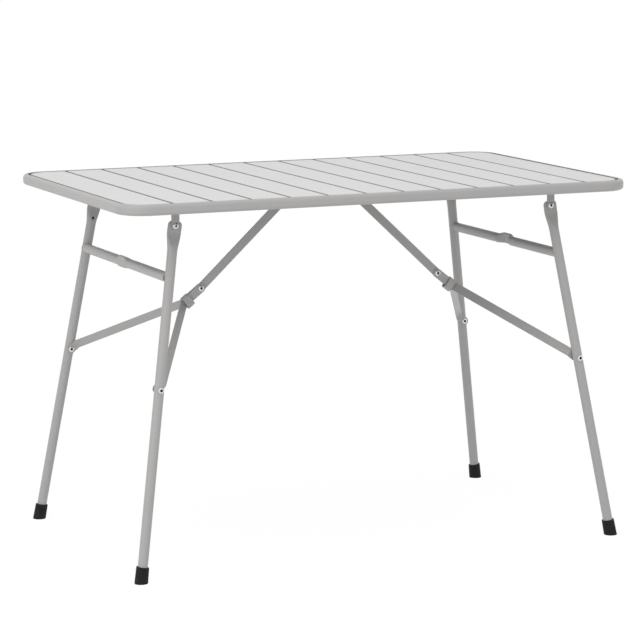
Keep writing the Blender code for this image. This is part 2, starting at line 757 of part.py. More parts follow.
def knee_place(sign):
    """Return the middle of a knee rivet."""
    return Vector((sign * KNEE_X, 0.0, KNEE_Z))


def brace_place(sign):
    """Return the middle of an upper strap's rivet."""
    return Vector((sign * BRACE_X, 0.0, BRACE_Z))


def fork_foot_place(sign):
    """Return the place of a fork's rivets on the legs, in the middle plane."""
    place = leg_place(sign, 1, FORK_RIVET_DROP, 0.0, 0.0)
    return Vector((place.x, 0.0, place.z))


def fork_direction(sign):
    """Return the direction from a knee to its fork's rivets."""
    return (fork_foot_place(sign) - knee_place(sign)).normalized()


def square_to(direction):
    """Return the direction square to another one in the plane of the fold."""
    return Vector((-direction.z, 0.0, direction.x))


def fork_heel_y():
    """Return the distance of a fork arm's end from the middle plane."""
    return leg_axis_y(FORK_RIVET_DROP) - LEG_RADIUS - FORK_LEG_GAP - FORK_THICKNESS / 2


def make_upper_strap(side, pivot, axis_place):
    """Cut the flat strap from the top to the knee."""
    sign = SIDES[side]
    start = brace_place(sign)
    run = knee_place(sign) - start
    direction = run.normalized()
    flat = sheet_mesh([bar_outline(run.length, STRAP_WIDTH), rivet_hole(0.0), rivet_hole(run.length)],
                      STRAP_THICKNESS)
    mesh = transformed(flat, basis(start, direction, square_to(direction), Vector((0, 1, 0))))
    return hang(new_object(f"upper_strap_{side}", mesh, FRAME_PAINT), pivot, axis_place)


def make_fork_strap(side, depth, pivot, axis_place):
    """Bend a flat strap from the knee out to a leg."""
    sign, depth_sign = SIDES[side], DEPTHS[depth]
    start = knee_place(sign)
    direction = fork_direction(sign)
    nose = RING_OFFSET + RING_LENGTH / 2 - RING_NOSE_LAP
    along = (fork_foot_place(sign) - start).length - nose - FORK_HEEL
    slant, splay = s_bend(along, fork_heel_y() - FORK_NOSE_Y, FORK_BEND_RADIUS)
    bend_length = FORK_BEND_RADIUS * splay
    pieces = [(nose, 0.0), (bend_length, splay), (slant, 0.0), (bend_length, -splay),
              (FORK_HEEL + FORK_WIDTH / 2, 0.0)]
    length = nose + 2 * bend_length + slant + FORK_HEEL
    flat = sheet_mesh([bar_outline(length, FORK_WIDTH), rivet_hole(0.0), rivet_hole(length)],
                      FORK_THICKNESS)
    laid = bend_path((0.0, FORK_NOSE_Y), 0.0, pieces)
    mesh = bent_mesh(flat, laid, start, direction, Vector((0, depth_sign, 0)), square_to(direction))
    return hang(new_object(f"fork_strap_{side}_{depth}", mesh, FRAME_PAINT), pivot, axis_place)


def make_ring(side, pivot, axis_place):
    """Make the flat oval ring that locks the knee, hanging on the fork's top edges."""
    sign = SIDES[side]
    direction = fork_direction(sign)
    upright = square_to(direction) * (1 if square_to(direction).z > 0 else -1)
    inner_height = FORK_WIDTH / 2 + RING_HEIGHT_PLAY
    inner_width = KNEE_HEAD_FACE + RIVET_HEAD_HEIGHT + RING_SIDE_PLAY
    outer = rounded_rectangle(2 * (inner_width + RING_WALL), 2 * (inner_height + RING_WALL),
                              RING_CORNER_RADIUS + RING_WALL, 4)
    inner = rounded_rectangle(2 * inner_width, 2 * inner_height, RING_CORNER_RADIUS, 4)
    centre = knee_place(sign) + direction * RING_OFFSET - upright * (RING_HEIGHT_PLAY - RUNNING_GAP)
    flat = sheet_mesh([outer, inner], RING_LENGTH)
    mesh = transformed(flat, basis(centre, Vector((0, 1, 0)), upright, Vector((0, 1, 0)).cross(upright)))
    return hang(new_object(f"lock_ring_{side}", mesh, FRAME_PAINT), pivot, axis_place)


def make_end(side):
    """Make a folding pair of legs and its brace."""
    sign = SIDES[side]
    pivot_place = Vector((sign * PIVOT_X, 0.0, PIVOT_Z))
    legs = make_pivot(f"leg_pivot_{side}", pivot_place)
    upper = make_pivot(f"upper_strap_pivot_{side}", brace_place(sign))
    foot_place = fork_foot_place(sign)
    fork = make_pivot(f"fork_pivot_{side}", foot_place - pivot_place)
    fork.parent = legs
    make_crossbar(side, legs, pivot_place)
    make_upper_strap(side, upper, brace_place(sign))
    make_ring(side, upper, brace_place(sign))
    make_rivet(f"brace_rivet_{side}", sign * BRACE_X, BRACE_Z, -KNEE_HEAD_FACE, KNEE_HEAD_FACE)
    for depth, depth_sign in DEPTHS.items():
        make_leg(side, depth, legs, pivot_place)
        make_cap(side, depth, legs, pivot_place)
        make_leg_bracket(side, depth)
        make_fork_strap(side, depth, fork, foot_place)
        tab_outer = TAB_INNER_Y + BRACKET_SHEET + RUNNING_GAP
        paddle_inner = PIVOT_Y - PADDLE_THICKNESS / 2 - RUNNING_GAP
        make_rivet(f"pivot_rivet_{side}_{depth}", sign * PIVOT_X, PIVOT_Z,
                   *mirrored_span(depth_sign, paddle_inner, tab_outer))
        strap_inner = fork_heel_y() - FORK_THICKNESS / 2 - RUNNING_GAP
        leg_outer = leg_axis_y(FORK_RIVET_DROP + RIVET_HEAD_RADIUS) + LEG_RADIUS + RUNNING_GAP
        rivet = make_rivet(f"strap_rivet_{side}_{depth}", foot_place.x, foot_place.z,
                           *mirrored_span(depth_sign, strap_inner, leg_outer))
        rivet.location -= pivot_place
        rivet.parent = legs
        knee = make_rivet(f"knee_rivet_{side}_{depth}", sign * KNEE_X, KNEE_Z,
                          *mirrored_span(depth_sign, FORK_INNER_FACE, KNEE_HEAD_FACE),
                          head_low=depth_sign < 0, head_high=depth_sign > 0)
        knee.location -= foot_place
        knee.parent = fork


def main():
    """Build the table."""
    make_rim()
    make_slats()
    make_rails()
    for side in SIDES:
        make_brace_bracket(side)
        make_end(side)


main()
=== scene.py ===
"""Looks of a folding catering table with a slatted steel top.

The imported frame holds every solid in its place. This script builds a finer piece over each
solid, gives it its finish, and lights and frames the table. Everything is in metres, with +Z
up and the floor at zero.
"""
import logging
import math
from contextlib import contextmanager
from dataclasses import dataclass
from enum import Enum
from typing import Callable, Iterator, Mapping, Sequence

import bmesh
import bpy
from mathutils import Matrix, Vector


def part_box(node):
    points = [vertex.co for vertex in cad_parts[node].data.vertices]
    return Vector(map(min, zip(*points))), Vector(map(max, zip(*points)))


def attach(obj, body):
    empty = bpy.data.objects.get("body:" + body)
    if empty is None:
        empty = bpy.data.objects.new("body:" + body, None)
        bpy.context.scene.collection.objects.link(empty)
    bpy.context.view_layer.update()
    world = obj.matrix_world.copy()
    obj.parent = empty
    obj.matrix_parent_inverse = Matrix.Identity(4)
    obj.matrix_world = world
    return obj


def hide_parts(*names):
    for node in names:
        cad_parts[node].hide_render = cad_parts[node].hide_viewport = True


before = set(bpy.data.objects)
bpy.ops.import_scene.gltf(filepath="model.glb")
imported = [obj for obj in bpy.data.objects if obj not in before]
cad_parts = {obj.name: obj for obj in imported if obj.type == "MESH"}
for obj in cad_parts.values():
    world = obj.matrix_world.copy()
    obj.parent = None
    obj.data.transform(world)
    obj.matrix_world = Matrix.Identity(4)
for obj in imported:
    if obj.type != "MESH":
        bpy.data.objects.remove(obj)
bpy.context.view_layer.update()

LOG = logging.getLogger("folding_table")
Test = Callable[[Vector], bool]
Ring = list[Vector]
Pair = tuple[float, float]
Profile = list[Pair]
Socket = bpy.types.NodeSocket
Inputs = Mapping[str | int, Socket | float | Sequence[float]]

# The clearance between two pieces
GAP = 0.0003
# Places closer than this count as the same place
TOUCH = 0.0001
# Vertices closer than this become one
MERGE = 0.000002
# The face under the cross rails, which the brackets are fixed to
BRACKET_TOP = 0.7200
# The flats round a rivet or a drilled hole
ROUND_POINTS = 40
# The colour of the studio's background
WHITE = (1.0, 1.0, 1.0, 1.0)
# The ways along the table, across it and up
ALONG = Vector((1.0, 0.0, 0.0))
ACROSS = Vector((0.0, 1.0, 0.0))
UP = Vector((0.0, 0.0, 1.0))


class Side(Enum):
    """An end of the table along its length."""

    LEFT = -1
    RIGHT = 1

    @property
    def word(self) -> str:
        """The side's name in the frame."""
        return self.name.lower()


class Depth(Enum):
    """A long edge of the table."""

    NEAR = -1
    FAR = 1

    @property
    def word(self) -> str:
        """The depth's name in the frame."""
        return self.name.lower()


class Slot(Enum):
    """A material slot of the record."""

    TOP_PAINT = "top_paint"
    FRAME_PAINT = "frame_paint"
    ZINC = "zinc"
    RUBBER = "rubber"


# Work at the bench


def put_down() -> None:
    """Leave edit mode and deselect every object."""
    if bpy.context.object is not None and bpy.context.object.mode != "OBJECT":
        bpy.ops.object.mode_set(mode="OBJECT")
    bpy.ops.object.select_all(action="DESELECT")


def pick_up(piece: bpy.types.Object) -> None:
    """Select one piece alone and make it active.

    Args:
        piece: The piece to work on.
    """
    put_down()
    piece.select_set(True)
    bpy.context.view_layer.objects.active = piece


def named(name: str) -> bpy.types.Object:
    """Name the primitive that was just added.

    Args:
        name: The piece's name.

    Returns:
        The primitive's object.
    """
    piece = bpy.context.object
    piece.name = name
    piece.data.name = name
    return piece


def settle(piece: bpy.types.Object) -> bpy.types.Object:
    """Put a piece's place into its mesh, so that its object sits at the origin.

    Args:
        piece: The piece to settle.

    Returns:
        The same piece.
    """
    pick_up(piece)
    bpy.ops.object.transform_apply(location=True, rotation=True, scale=True)
    return piece


def add_sheet(name: str, length: float, width: float, middle: Sequence[float]) -> bpy.types.Object:
    """Add a flat rectangle.

    Args:
        name: The piece's name.
        length: Its size along X.
        width: Its size along Y.
        middle: The place of its middle.

    Returns:
        The new piece.
    """
    put_down()
    bpy.ops.mesh.primitive_plane_add(size=1.0, location=middle)
    piece = named(name)
    piece.scale = (length, width, 1.0)
    return settle(piece)


@contextmanager
def editing(piece: bpy.types.Object) -> Iterator[None]:
    """Hold a piece in edit mode, with nothing selected.

    Args:
        piece: The piece to edit.

    Yields:
        Nothing; the piece is in edit mode meanwhile.
    """
    pick_up(piece)
    bpy.ops.object.mode_set(mode="EDIT")
    bpy.ops.mesh.select_all(action="DESELECT")
    try:
        yield
    finally:
        bpy.ops.object.mode_set(mode="OBJECT")


def choose_all() -> None:
    """Select everything in edit mode."""
    bpy.ops.mesh.select_all(action="SELECT")


def choose_verts(piece: bpy.types.Object, test: Test) -> None:
    """Select the vertices in edit mode that pass a test of their place.

    Args:
        piece: The piece in edit mode.
        test: Says whether a place counts.
    """
    bpy.ops.mesh.select_mode(type="VERT")
    bpy.ops.mesh.select_all(action="DESELECT")
    mesh = bmesh.from_edit_mesh(piece.data)
    for vert in mesh.verts:
        vert.select = test(vert.co)
    mesh.select_flush(True)
    bmesh.update_edit_mesh(piece.data)


def choose_edges(piece: bpy.types.Object, test: Test, level: bool = False) -> None:
    """Select the edges in edit mode whose two ends pass a test.

    Args:
        piece: The piece in edit mode.
        test: Says whether a place counts.
        level: Leaves out the edges that rise or fall.
    """
    bpy.ops.mesh.select_mode(type="EDGE")
    bpy.ops.mesh.select_all(action="DESELECT")
    mesh = bmesh.from_edit_mesh(piece.data)
    for edge in mesh.edges:
        start, end = (vert.co for vert in edge.verts)
        if test(start) and test(end) and not (level and abs(start.z - end.z) > MERGE):
            edge.select = True
    bmesh.update_edit_mesh(piece.data)


def face_outward(piece: bpy.types.Object) -> None:
    """Turn the faces of a closed piece outward.

    Args:
        piece: The piece, which is a closed shell.
    """
    with editing(piece):
        choose_all()
        bpy.ops.mesh.remove_doubles(threshold=MERGE)
        bpy.ops.mesh.normals_make_consistent(inside=False)


def turn_over(piece: bpy.types.Object) -> None:
    """Turn the faces of an open sheet to its other side.

    Args:
        piece: The sheet.
    """
    with editing(piece):
        choose_all()
        bpy.ops.mesh.flip_normals()


def apply_modifier(piece: bpy.types.Object, kind: str, **settings: object) -> None:
    """Add one modifier with its settings and apply it.

    Args:
        piece: The piece to change.
        kind: The modifier's type.
        **settings: Its properties by name.
    """
    pick_up(piece)
    modifier = piece.modifiers.new(kind.lower(), kind)
    for name, value in settings.items():
        setattr(modifier, name, value)
    bpy.ops.object.modifier_apply(modifier=modifier.name)


def thicken(piece: bpy.types.Object, thickness: float, offset: float = 0.0) -> None:
    """Give a sheet its thickness: both ways, or against its faces where the offset is -1."""
    apply_modifier(piece, "SOLIDIFY", thickness=thickness, offset=offset, use_even_offset=True)


def soften(piece: bpy.types.Object, width: float, segments: int = 2, angle: float = 40.0) -> None:
    """Round the edges of a piece that are sharper than an angle in degrees."""
    apply_modifier(piece, "BEVEL", width=width, segments=segments, limit_method="ANGLE",
                   angle_limit=math.radians(angle), use_clamp_overlap=True)


def paint_hollow_shade(piece: bpy.types.Object, depth_at: Callable[[Vector], float]) -> None:
    """Write painted shade on each vertex by how deep inside a hollow it lies, for the finishes to paint dark.

    Args:
        piece: The finished piece.
        depth_at: Gives the share of painted shade, from 0 in the open to 1 deep inside.
    """
    layer = piece.data.attributes.new("painted_shade", "FLOAT", "POINT")
    for vert in piece.data.vertices:
        layer.data[vert.index].value = depth_at(vert.co)


def smooth(piece: bpy.types.Object, angle: float = 40.0) -> None:
    """Shade a piece's round faces smooth and keep its flat faces flat.

    Args:
        piece: The finished piece.
        angle: The least angle of an edge that stays sharp, in degrees.
    """
    pick_up(piece)
    bpy.ops.object.shade_smooth_by_angle(angle=math.radians(angle))
    apply_modifier(piece, "WEIGHTED_NORMAL", keep_sharp=True, weight=80)


def add_pin(place: Sequence[float], radius: float, length: float, upright: bool = False) -> bpy.types.Object:
    """Add a round drill that stands upright or runs across the table.

    Args:
        place: The place of its middle.
        radius: The drill's radius.
        length: Its length.
        upright: Whether it runs along Z.

    Returns:
        The drill.
    """
    put_down()
    turn = 0.0 if upright else math.pi / 2
    bpy.ops.mesh.primitive_cylinder_add(vertices=ROUND_POINTS, radius=radius, depth=length, location=place,
                                        rotation=(turn, 0.0, 0.0))
    return settle(named("drill"))


def drill(piece: bpy.types.Object, pin: bpy.types.Object) -> None:
    """Cut a drill out of a piece and put the drill away."""
    apply_modifier(piece, "BOOLEAN", object=pin, operation="DIFFERENCE", solver="EXACT")
    bpy.data.objects.remove(pin, do_unlink=True)


def loft(name: str, rings: Sequence[Ring], close: bool = True) -> bpy.types.Object:
    """Extrude a ring of points from section to section.

    Args:
        name: The piece's name.
        rings: The sections in order, each with the same number of points.
        close: Whether both ends get a face.

    Returns:
        The new piece.
    """
    put_down()
    bpy.ops.mesh.primitive_circle_add(vertices=len(rings[0]))
    piece = named(name)
    with editing(piece):
        bpy.ops.mesh.select_mode(type="VERT")
        choose_all()
        mesh = bmesh.from_edit_mesh(piece.data)
        seat = mesh.verts.layers.int.new("seat")
        for number, vert in enumerate(mesh.verts):
            vert[seat] = number
            vert.co = rings[0][number]
        if close:
            bpy.ops.mesh.edge_face_add()
            bpy.ops.mesh.select_mode(type="EDGE")
        for ring in rings[1:]:
            bpy.ops.mesh.extrude_region_move()
            mesh = bmesh.from_edit_mesh(piece.data)
            seat = mesh.verts.layers.int["seat"]
            for vert in mesh.verts:
                if vert.select:
                    vert.co = ring[vert[seat]]
            bmesh.update_edit_mesh(piece.data)
        mesh = bmesh.from_edit_mesh(piece.data)
        mesh.verts.layers.int.remove(mesh.verts.layers.int["seat"])
        bmesh.update_edit_mesh(piece.data)
    if close:
        face_outward(piece)
    return piece


def turn_on_lathe(name: str, section: Profile) -> bpy.types.Object:
    """Spin a closed section about an axis that runs across the table.

    Args:
        name: The piece's name.
        section: The section's points as a radius and a distance along the axis.

    Returns:
        The new piece, about the origin.
    """
    put_down()
    bpy.ops.mesh.primitive_circle_add(vertices=len(section))
    piece = named(name)
    with editing(piece):
        choose_all()
        mesh = bmesh.from_edit_mesh(piece.data)
        for vert, (radius, along) in zip(mesh.verts, section):
            vert.co = (radius, along, 0.0)
        bmesh.update_edit_mesh(piece.data)
        bpy.ops.mesh.spin(steps=ROUND_POINTS, angle=2 * math.pi, center=(0.0, 0.0, 0.0), axis=(0.0, 1.0, 0.0))
    face_outward(piece)
    return piece


def clamp(value: float) -> float:
    """Hold a value between 0 and 1."""
    return max(0.0, min(1.0, value))


def ease(part: float) -> float:
    """Ease a share from 0 to 1, level at both ends."""
    return part * part * (3 - 2 * part)


def arc(centre: Pair, radius: float, start: float, end: float, steps: int) -> Profile:
    """Lay points on an arc between two angles in degrees, both ends included."""
    angles = [math.radians(start + (end - start) * step / steps) for step in range(steps + 1)]
    return [(centre[0] + radius * math.cos(angle), centre[1] + radius * math.sin(angle)) for angle in angles]


def cut_bar(name: str, length: float, width: float, thickness: float, holes: Sequence[float],
            hole_radius: float, square_start: bool = False) -> bpy.types.Object:
    """Cut a flat bar with round ends from sheet, along +X from the origin, and drill it.

    Args:
        name: The piece's name.
        length: The distance between the centres of its round ends.
        width: The bar's width.
        thickness: The gauge of the sheet.
        holes: The distances of its holes.
        hole_radius: The radius of its holes.
        square_start: Leaves the first end square, at the origin.

    Returns:
        The new piece, flat in the XY plane.
    """
    edge_round, end_steps = 0.0004, 14
    # A hair is left between the two corners of a round end, and then merged
    hair = 0.000001
    first = 0.0 if square_start else -width / 2
    last = length + width / 2
    bar = add_sheet(name, last - first, width, ((first + last) / 2, 0.0, 0.0))
    with editing(bar):
        choose_verts(bar, lambda place: not (square_start and place.x < length / 2))
        bpy.ops.mesh.bevel(affect="VERTICES", offset=width / 2 - hair, segments=end_steps)
        choose_all()
        bpy.ops.mesh.remove_doubles(threshold=10 * hair)
    thicken(bar, thickness)
    for distance in holes:
        drill(bar, add_pin((distance, 0.0, 0.0), hole_radius, 4 * thickness, upright=True))
    soften(bar, edge_round)
    return bar


@dataclass(frozen=True)
class BendLine:
    """The centre line of a bent strap, in its own plane."""

    start: Pair
    heading: float
    runs: tuple[Pair, ...]

    @staticmethod
    def step(place: Vector, heading: float, along: float, length: float, turn: float) -> tuple[Vector, float]:
        """Walk along one run.

        Args:
            place: The run's first place.
            heading: Its first heading in radians.
            along: The distance to walk.
            length: The whole run's length.
            turn: The whole run's turn in radians.

        Returns:
            The place and the heading there.
        """
        if turn == 0.0:
            return place + along * Vector((math.cos(heading), math.sin(heading))), heading
        radius = length / turn
        angle = heading + turn * along / length
        centre = place + radius * Vector((-math.sin(heading), math.cos(heading)))
        return centre - radius * Vector((-math.sin(angle), math.cos(angle))), angle

    def at(self, distance: float) -> tuple[Vector, float]:
        """Find the place and the heading at a distance along the line.

        Args:
            distance: The distance from the start.

        Returns:
            The place and the heading.
        """
        place, heading, left = Vector(self.start), self.heading, distance
        for length, turn in self.runs[:-1]:
            if left <= length:
                return self.step(place, heading, left, length, turn)
            place, heading = self.step(place, heading, length, length, turn)
            left -= length
        return self.step(place, heading, left, *self.runs[-1])

    def cuts(self, steps: int) -> list[float]:
        """List the distances at which the sheet is cut so that it can bend.

        Args:
            steps: The number of flats in each bend.

        Returns:
            The distances.
        """
        found: list[float] = []
        first = 0.0
        for length, turn in self.runs:
            if turn != 0.0:
                found += [first + length * step / steps for step in range(steps + 1)]
            first += length
        return found


def bend(bar: bpy.types.Object, line: BendLine, origin: Vector, along: Vector, outward: Vector,
         across: Vector, steps: int = 8) -> bpy.types.Object:
    """Bend a flat bar over a line and carry it to its place.

    Args:
        bar: The flat bar, along +X.
        line: The line that its middle follows.
        origin: The place of the line's origin.
        along: The direction of the line's first axis.
        outward: The direction of its second axis.
        across: The direction of the bar's width.
        steps: The number of flats in each bend.

    Returns:
        The same bar, bent.
    """
    with editing(bar):
        for distance in line.cuts(steps):
            choose_all()
            bpy.ops.mesh.bisect(plane_co=(distance, 0.0, 0.0), plane_no=(1.0, 0.0, 0.0), threshold=MERGE / 2)
    for vert in bar.data.vertices:
        place, heading = line.at(vert.co.x)
        place = place + vert.co.z * Vector((-math.sin(heading), math.cos(heading)))
        vert.co = origin + place.x * along + place.y * outward + vert.co.y * across
    bar.data.update()
    face_outward(bar)
    return bar


# Finishes


def feed(tree: bpy.types.NodeTree, node: bpy.types.Node, inputs: Inputs) -> None:
    """Give a node's inputs their values and links.

    Args:
        tree: The tree that the node is in.
        node: The node.
        inputs: A value or another node's socket for each input, by name or number.
    """
    for name, value in inputs.items():
        if isinstance(value, bpy.types.NodeSocket):
            tree.links.new(value, node.inputs[name])
        else:
            node.inputs[name].default_value = value


def add_node(tree: bpy.types.NodeTree, kind: str, inputs: Inputs, **settings: object) -> bpy.types.Node:
    """Add a shader node, set its properties and feed its inputs.

    Args:
        tree: The tree to add it to.
        kind: The node's type.
        inputs: A value or another node's socket for each input, by name or number.
        **settings: The node's properties by name.

    Returns:
        The node.
    """
    node = tree.nodes.new(kind)
    for name, value in settings.items():
        setattr(node, name, value)
    feed(tree, node, inputs)
    return node


def add_math(tree: bpy.types.NodeTree, operation: str, first: Socket, second: Socket | float) -> Socket:
    """Combine two values by a math operation."""
    return add_node(tree, "ShaderNodeMath", {0: first, 1: second}, operation=operation).outputs["Value"]


def add_noise(tree: bpy.types.NodeTree, scale: Socket, detail: float, roughness: float = 0.5) -> Socket:
    """Add a noise texture on object coordinates.

    Args:
        tree: The tree to add it to.
        scale: The number of blobs in a metre.
        detail: The number of finer layers.
        roughness: The strength of the finer layers.

    Returns:
        The noise's value.
    """
    place = tree.nodes.get("place") or add_node(tree, "ShaderNodeTexCoord", {}, name="place")
    noise = add_node(tree, "ShaderNodeTexNoise", {"Vector": place.outputs["Object"], "Scale": scale,
                                                  "Detail": detail, "Roughness": roughness})
    return noise.outputs["Fac"]


def add_ramp(tree: bpy.types.NodeTree, source: Socket, stretch: Pair, result: Pair = (0.0, 1.0)) -> Socket:
    """Spread a stretch of a value over a new range.

    Args:
        tree: The tree to add it to.
        source: The value.
        stretch: Where the stretch starts and ends.
        result: The results at its start and its end.

    Returns:
        The result's socket.
    """
    return add_node(tree, "ShaderNodeMapRange", {
        "Value": source,
        "From Min": stretch[0],
        "From Max": stretch[1],
        "To Min": result[0],
        "To Max": result[1],
    }).outputs["Result"]


def mix_colours(tree: bpy.types.NodeTree, share: Socket, first: Socket | Sequence[float],
                second: Socket | Sequence[float]) -> Socket:
    """Mix two colours, with the second one's share from 0 to 1."""
    mix = add_node(tree, "ShaderNodeMix", {"Factor": share, "A": first, "B": second}, data_type="RGBA")
    return mix.outputs["Result"]


def new_group(name: str, inputs: dict[str, float], outputs: Sequence[str]) -> bpy.types.NodeTree:
    """Start a shader node group with named sockets.

    Args:
        name: The group's name.
        inputs: The first values of its number inputs by name.
        outputs: The names of its number outputs.

    Returns:
        The group's node tree, with its input and output nodes named.
    """
    tree = bpy.data.node_groups.new(name, "ShaderNodeTree")
    for label, value in inputs.items():
        socket = tree.interface.new_socket(label, in_out="INPUT", socket_type="NodeSocketFloat")
        socket.default_value = value
    for label in outputs:
        tree.interface.new_socket(label, in_out="OUTPUT", socket_type="NodeSocketFloat")
    tree.nodes.new("NodeGroupInput").name = "in"
    tree.nodes.new("NodeGroupOutput").name = "out"
    return tree


def skin_group() -> bpy.types.NodeTree:
    """Build the height of a sprayed or moulded skin: fine dimples over a slow swell.

    Returns:
        The group, with the output Height.
    """
    tree = new_group("skin_height", {"Dimples per metre": 900.0, "Swell per metre": 40.0, "Swell share": 0.3},
                     ["Height"])
    source = tree.nodes["in"].outputs
    dimples = add_noise(tree, source["Dimples per metre"], detail=2.0)
    swell = add_noise(tree, source["Swell per metre"], detail=1.0)
    lifted = add_math(tree, "MULTIPLY", swell, source["Swell share"])
    feed(tree, tree.nodes["out"], {"Height": add_math(tree, "ADD", dimples, lifted)})
    return tree


def mottle_group() -> bpy.types.NodeTree:
    """Build soft masks of cloudy patches and fine specks, for colour and gloss that vary.

    Returns:
        The group, with the outputs Mask and Specks from 0 to 1.
    """
    tree = new_group("mottle_mask", {"Patches per metre": 9.0, "Specks per metre": 260.0}, ["Mask", "Specks"])
    source = tree.nodes["in"].outputs
    patches = add_noise(tree, source["Patches per metre"], detail=4.0, roughness=0.6)
    specks = add_noise(tree, source["Specks per metre"], detail=2.0)
    feed(tree, tree.nodes["out"], {"Mask": add_ramp(tree, patches, stretch=(0.35, 0.65)),
                                   "Specks": add_ramp(tree, specks, stretch=(0.55, 0.75))})
    return tree


SKIN = skin_group()
MOTTLE = mottle_group()


@dataclass(frozen=True)
class Finish:
    """What the finishes share: cloudy shades of one colour, a gloss that varies, and a fine skin.

    A piece's vertices may carry painted shade for its hollows, and the finish is painted nearly black there.
    The gloss follows the specks where there are any, and the patches elsewhere.
    """

    name: str
    colour: tuple[float, float, float]
    shades: Pair
    roughness: Pair
    patches: float
    dimples: float
    swell: float
    swell_share: float
    relief: float
    relief_depth: float
    specks: float = 0.0
    metallic: float = 0.0
    specular: float = 0.5
    # The near black that is painted as shade in hollows
    painted_shade_grey: float = 0.010

    def shade(self, factor: float) -> tuple[float, ...]:
        """Scale the colour, and add a full alpha."""
        return (*(channel * factor for channel in self.colour), 1.0)

    def material(self) -> bpy.types.Material:
        """Build the finish's material.

        Returns:
            The material.
        """
        material = bpy.data.materials.new(self.name)
        material.use_nodes = True
        tree = material.node_tree
        mottle = add_node(tree, "ShaderNodeGroup", {"Patches per metre": self.patches}, node_tree=MOTTLE)
        gloss_mask = mottle.outputs["Mask"]
        if self.specks:
            feed(tree, mottle, {"Specks per metre": self.specks})
            gloss_mask = mottle.outputs["Specks"]
        dark, light = (self.shade(factor) for factor in self.shades)
        clouded = mix_colours(tree, mottle.outputs["Mask"], dark, light)
        # Painted shade: marked vertices turn nearly black, standing in for the shadow deep in hollows
        painted_shade = add_node(tree, "ShaderNodeAttribute", {}, attribute_name="painted_shade")
        colour = mix_colours(tree, painted_shade.outputs["Fac"], clouded, (*[self.painted_shade_grey] * 3, 1.0))
        skin = add_node(tree, "ShaderNodeGroup", {
            "Dimples per metre": self.dimples,
            "Swell per metre": self.swell,
            "Swell share": self.swell_share,
        }, node_tree=SKIN)
        bump = add_node(tree, "ShaderNodeBump", {"Height": skin.outputs["Height"], "Strength": self.relief,
                                                 "Distance": self.relief_depth})
        feed(tree, tree.nodes["Principled BSDF"], {
            "Base Color": colour,
            "Roughness": add_ramp(tree, gloss_mask, (0.0, 1.0), self.roughness),
            "Metallic": self.metallic,
            "Specular IOR Level": self.specular,
            "Normal": bump.outputs["Normal"],
        })
        return material


@dataclass(frozen=True)
class PowderCoat(Finish):
    """A satin powder coat: a cloudy gloss over fine orange peel."""

    shades: Pair = (0.985, 1.015)
    roughness: Pair = (0.37, 0.43)
    patches: float = 7.0
    dimples: float = 1100.0
    swell: float = 60.0
    swell_share: float = 0.5
    relief: float = 0.02
    relief_depth: float = 0.0004


@dataclass(frozen=True)
class ZincPlate(Finish):
    """Bright zinc plate on a rivet, slightly cloudy."""

    name: str = "bright_zinc"
    colour: tuple[float, float, float] = (0.74, 0.74, 0.76)
    shades: Pair = (0.90, 1.05)
    roughness: Pair = (0.24, 0.34)
    patches: float = 160.0
    dimples: float = 2600.0
    swell: float = 500.0
    swell_share: float = 0.6
    relief: float = 0.12
    relief_depth: float = 0.0002
    metallic: float = 1.0


@dataclass(frozen=True)
class BlackRubber(Finish):
    """Matt black moulded rubber, greyed a little by handling."""

    name: str = "black_rubber"
    colour: tuple[float, float, float] = (0.011, 0.011, 0.011)
    shades: Pair = (1.0, 1.8)
    roughness: Pair = (0.58, 0.72)
    patches: float = 70.0
    dimples: float = 1900.0
    swell: float = 200.0
    swell_share: float = 0.4
    relief: float = 0.35
    relief_depth: float = 0.0003
    specks: float = 1400.0
    specular: float = 0.16


@dataclass
class Finishes:
    """The materials of the table, one for each slot of the record."""

    materials: dict[Slot, bpy.types.Material]

    def finish(self, piece: bpy.types.Object, slot: Slot, body: str, *nodes: str) -> None:
        """Dress a piece, hang it on its body and hide the solids that it stands for.

        Args:
            piece: The finished mesh.
            slot: The record's slot.
            body: The body that it rides on.
            *nodes: The solids that it stands for.
        """
        piece.data.materials.clear()
        piece.data.materials.append(self.materials[slot])
        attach(piece, body)
        if nodes:
            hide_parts(*nodes)
        LOG.info("%s on %s: %d faces, %s", piece.name, body, len(piece.data.polygons), slot.value)


# Where the legs and braces run


@dataclass(frozen=True)
class LegLine:
    """The line of a leg, from its pivot under the top to its foot on the floor."""

    pivot_x: float = 0.4111
    pivot_y: float = 0.2350
    pivot_z: float = 0.6850
    foot_x: float = 0.5182
    foot_y: float = 0.3148
    radius: float = 0.0099
    straight: float = 0.0130
    strap_drop: float = 0.3186

    @property
    def length(self) -> float:
        """The length from pivot to floor, in the plane of the fold."""
        return math.hypot(self.foot_x - self.pivot_x, self.pivot_z)

    @property
    def down(self) -> Vector:
        """The direction down the leg on the right-hand end."""
        return Vector((self.foot_x - self.pivot_x, 0.0, -self.pivot_z)) / self.length

    @property
    def inward(self) -> Vector:
        """The direction square to the leg, towards the table's middle."""
        down = self.down
        return Vector((down.z, 0.0, -down.x))

    def across(self, drop: float) -> float:
        """Find the leg's distance from the middle plane at a drop below the pivot."""
        splay = (self.foot_y - self.pivot_y) / (self.length - self.straight)
        return self.pivot_y + max(0.0, drop - self.straight) * splay

    def place(self, side: Side, depth: Depth, drop: float, inward: float = 0.0,
              outward: float = 0.0) -> Vector:
        """Find a place on a leg's line, or beside it: inward along the table, outward across it."""
        place = Vector((self.pivot_x, 0.0, self.pivot_z)) + drop * self.down + inward * self.inward
        return Vector((side.value * place.x, depth.value * (self.across(drop) + outward), place.z))


def flattened(radius: float, half_height: float) -> float:
    """Find half of the flat run that keeps a tube's girth when it is pressed to half a height."""
    return (radius - half_height) * math.pi / 2


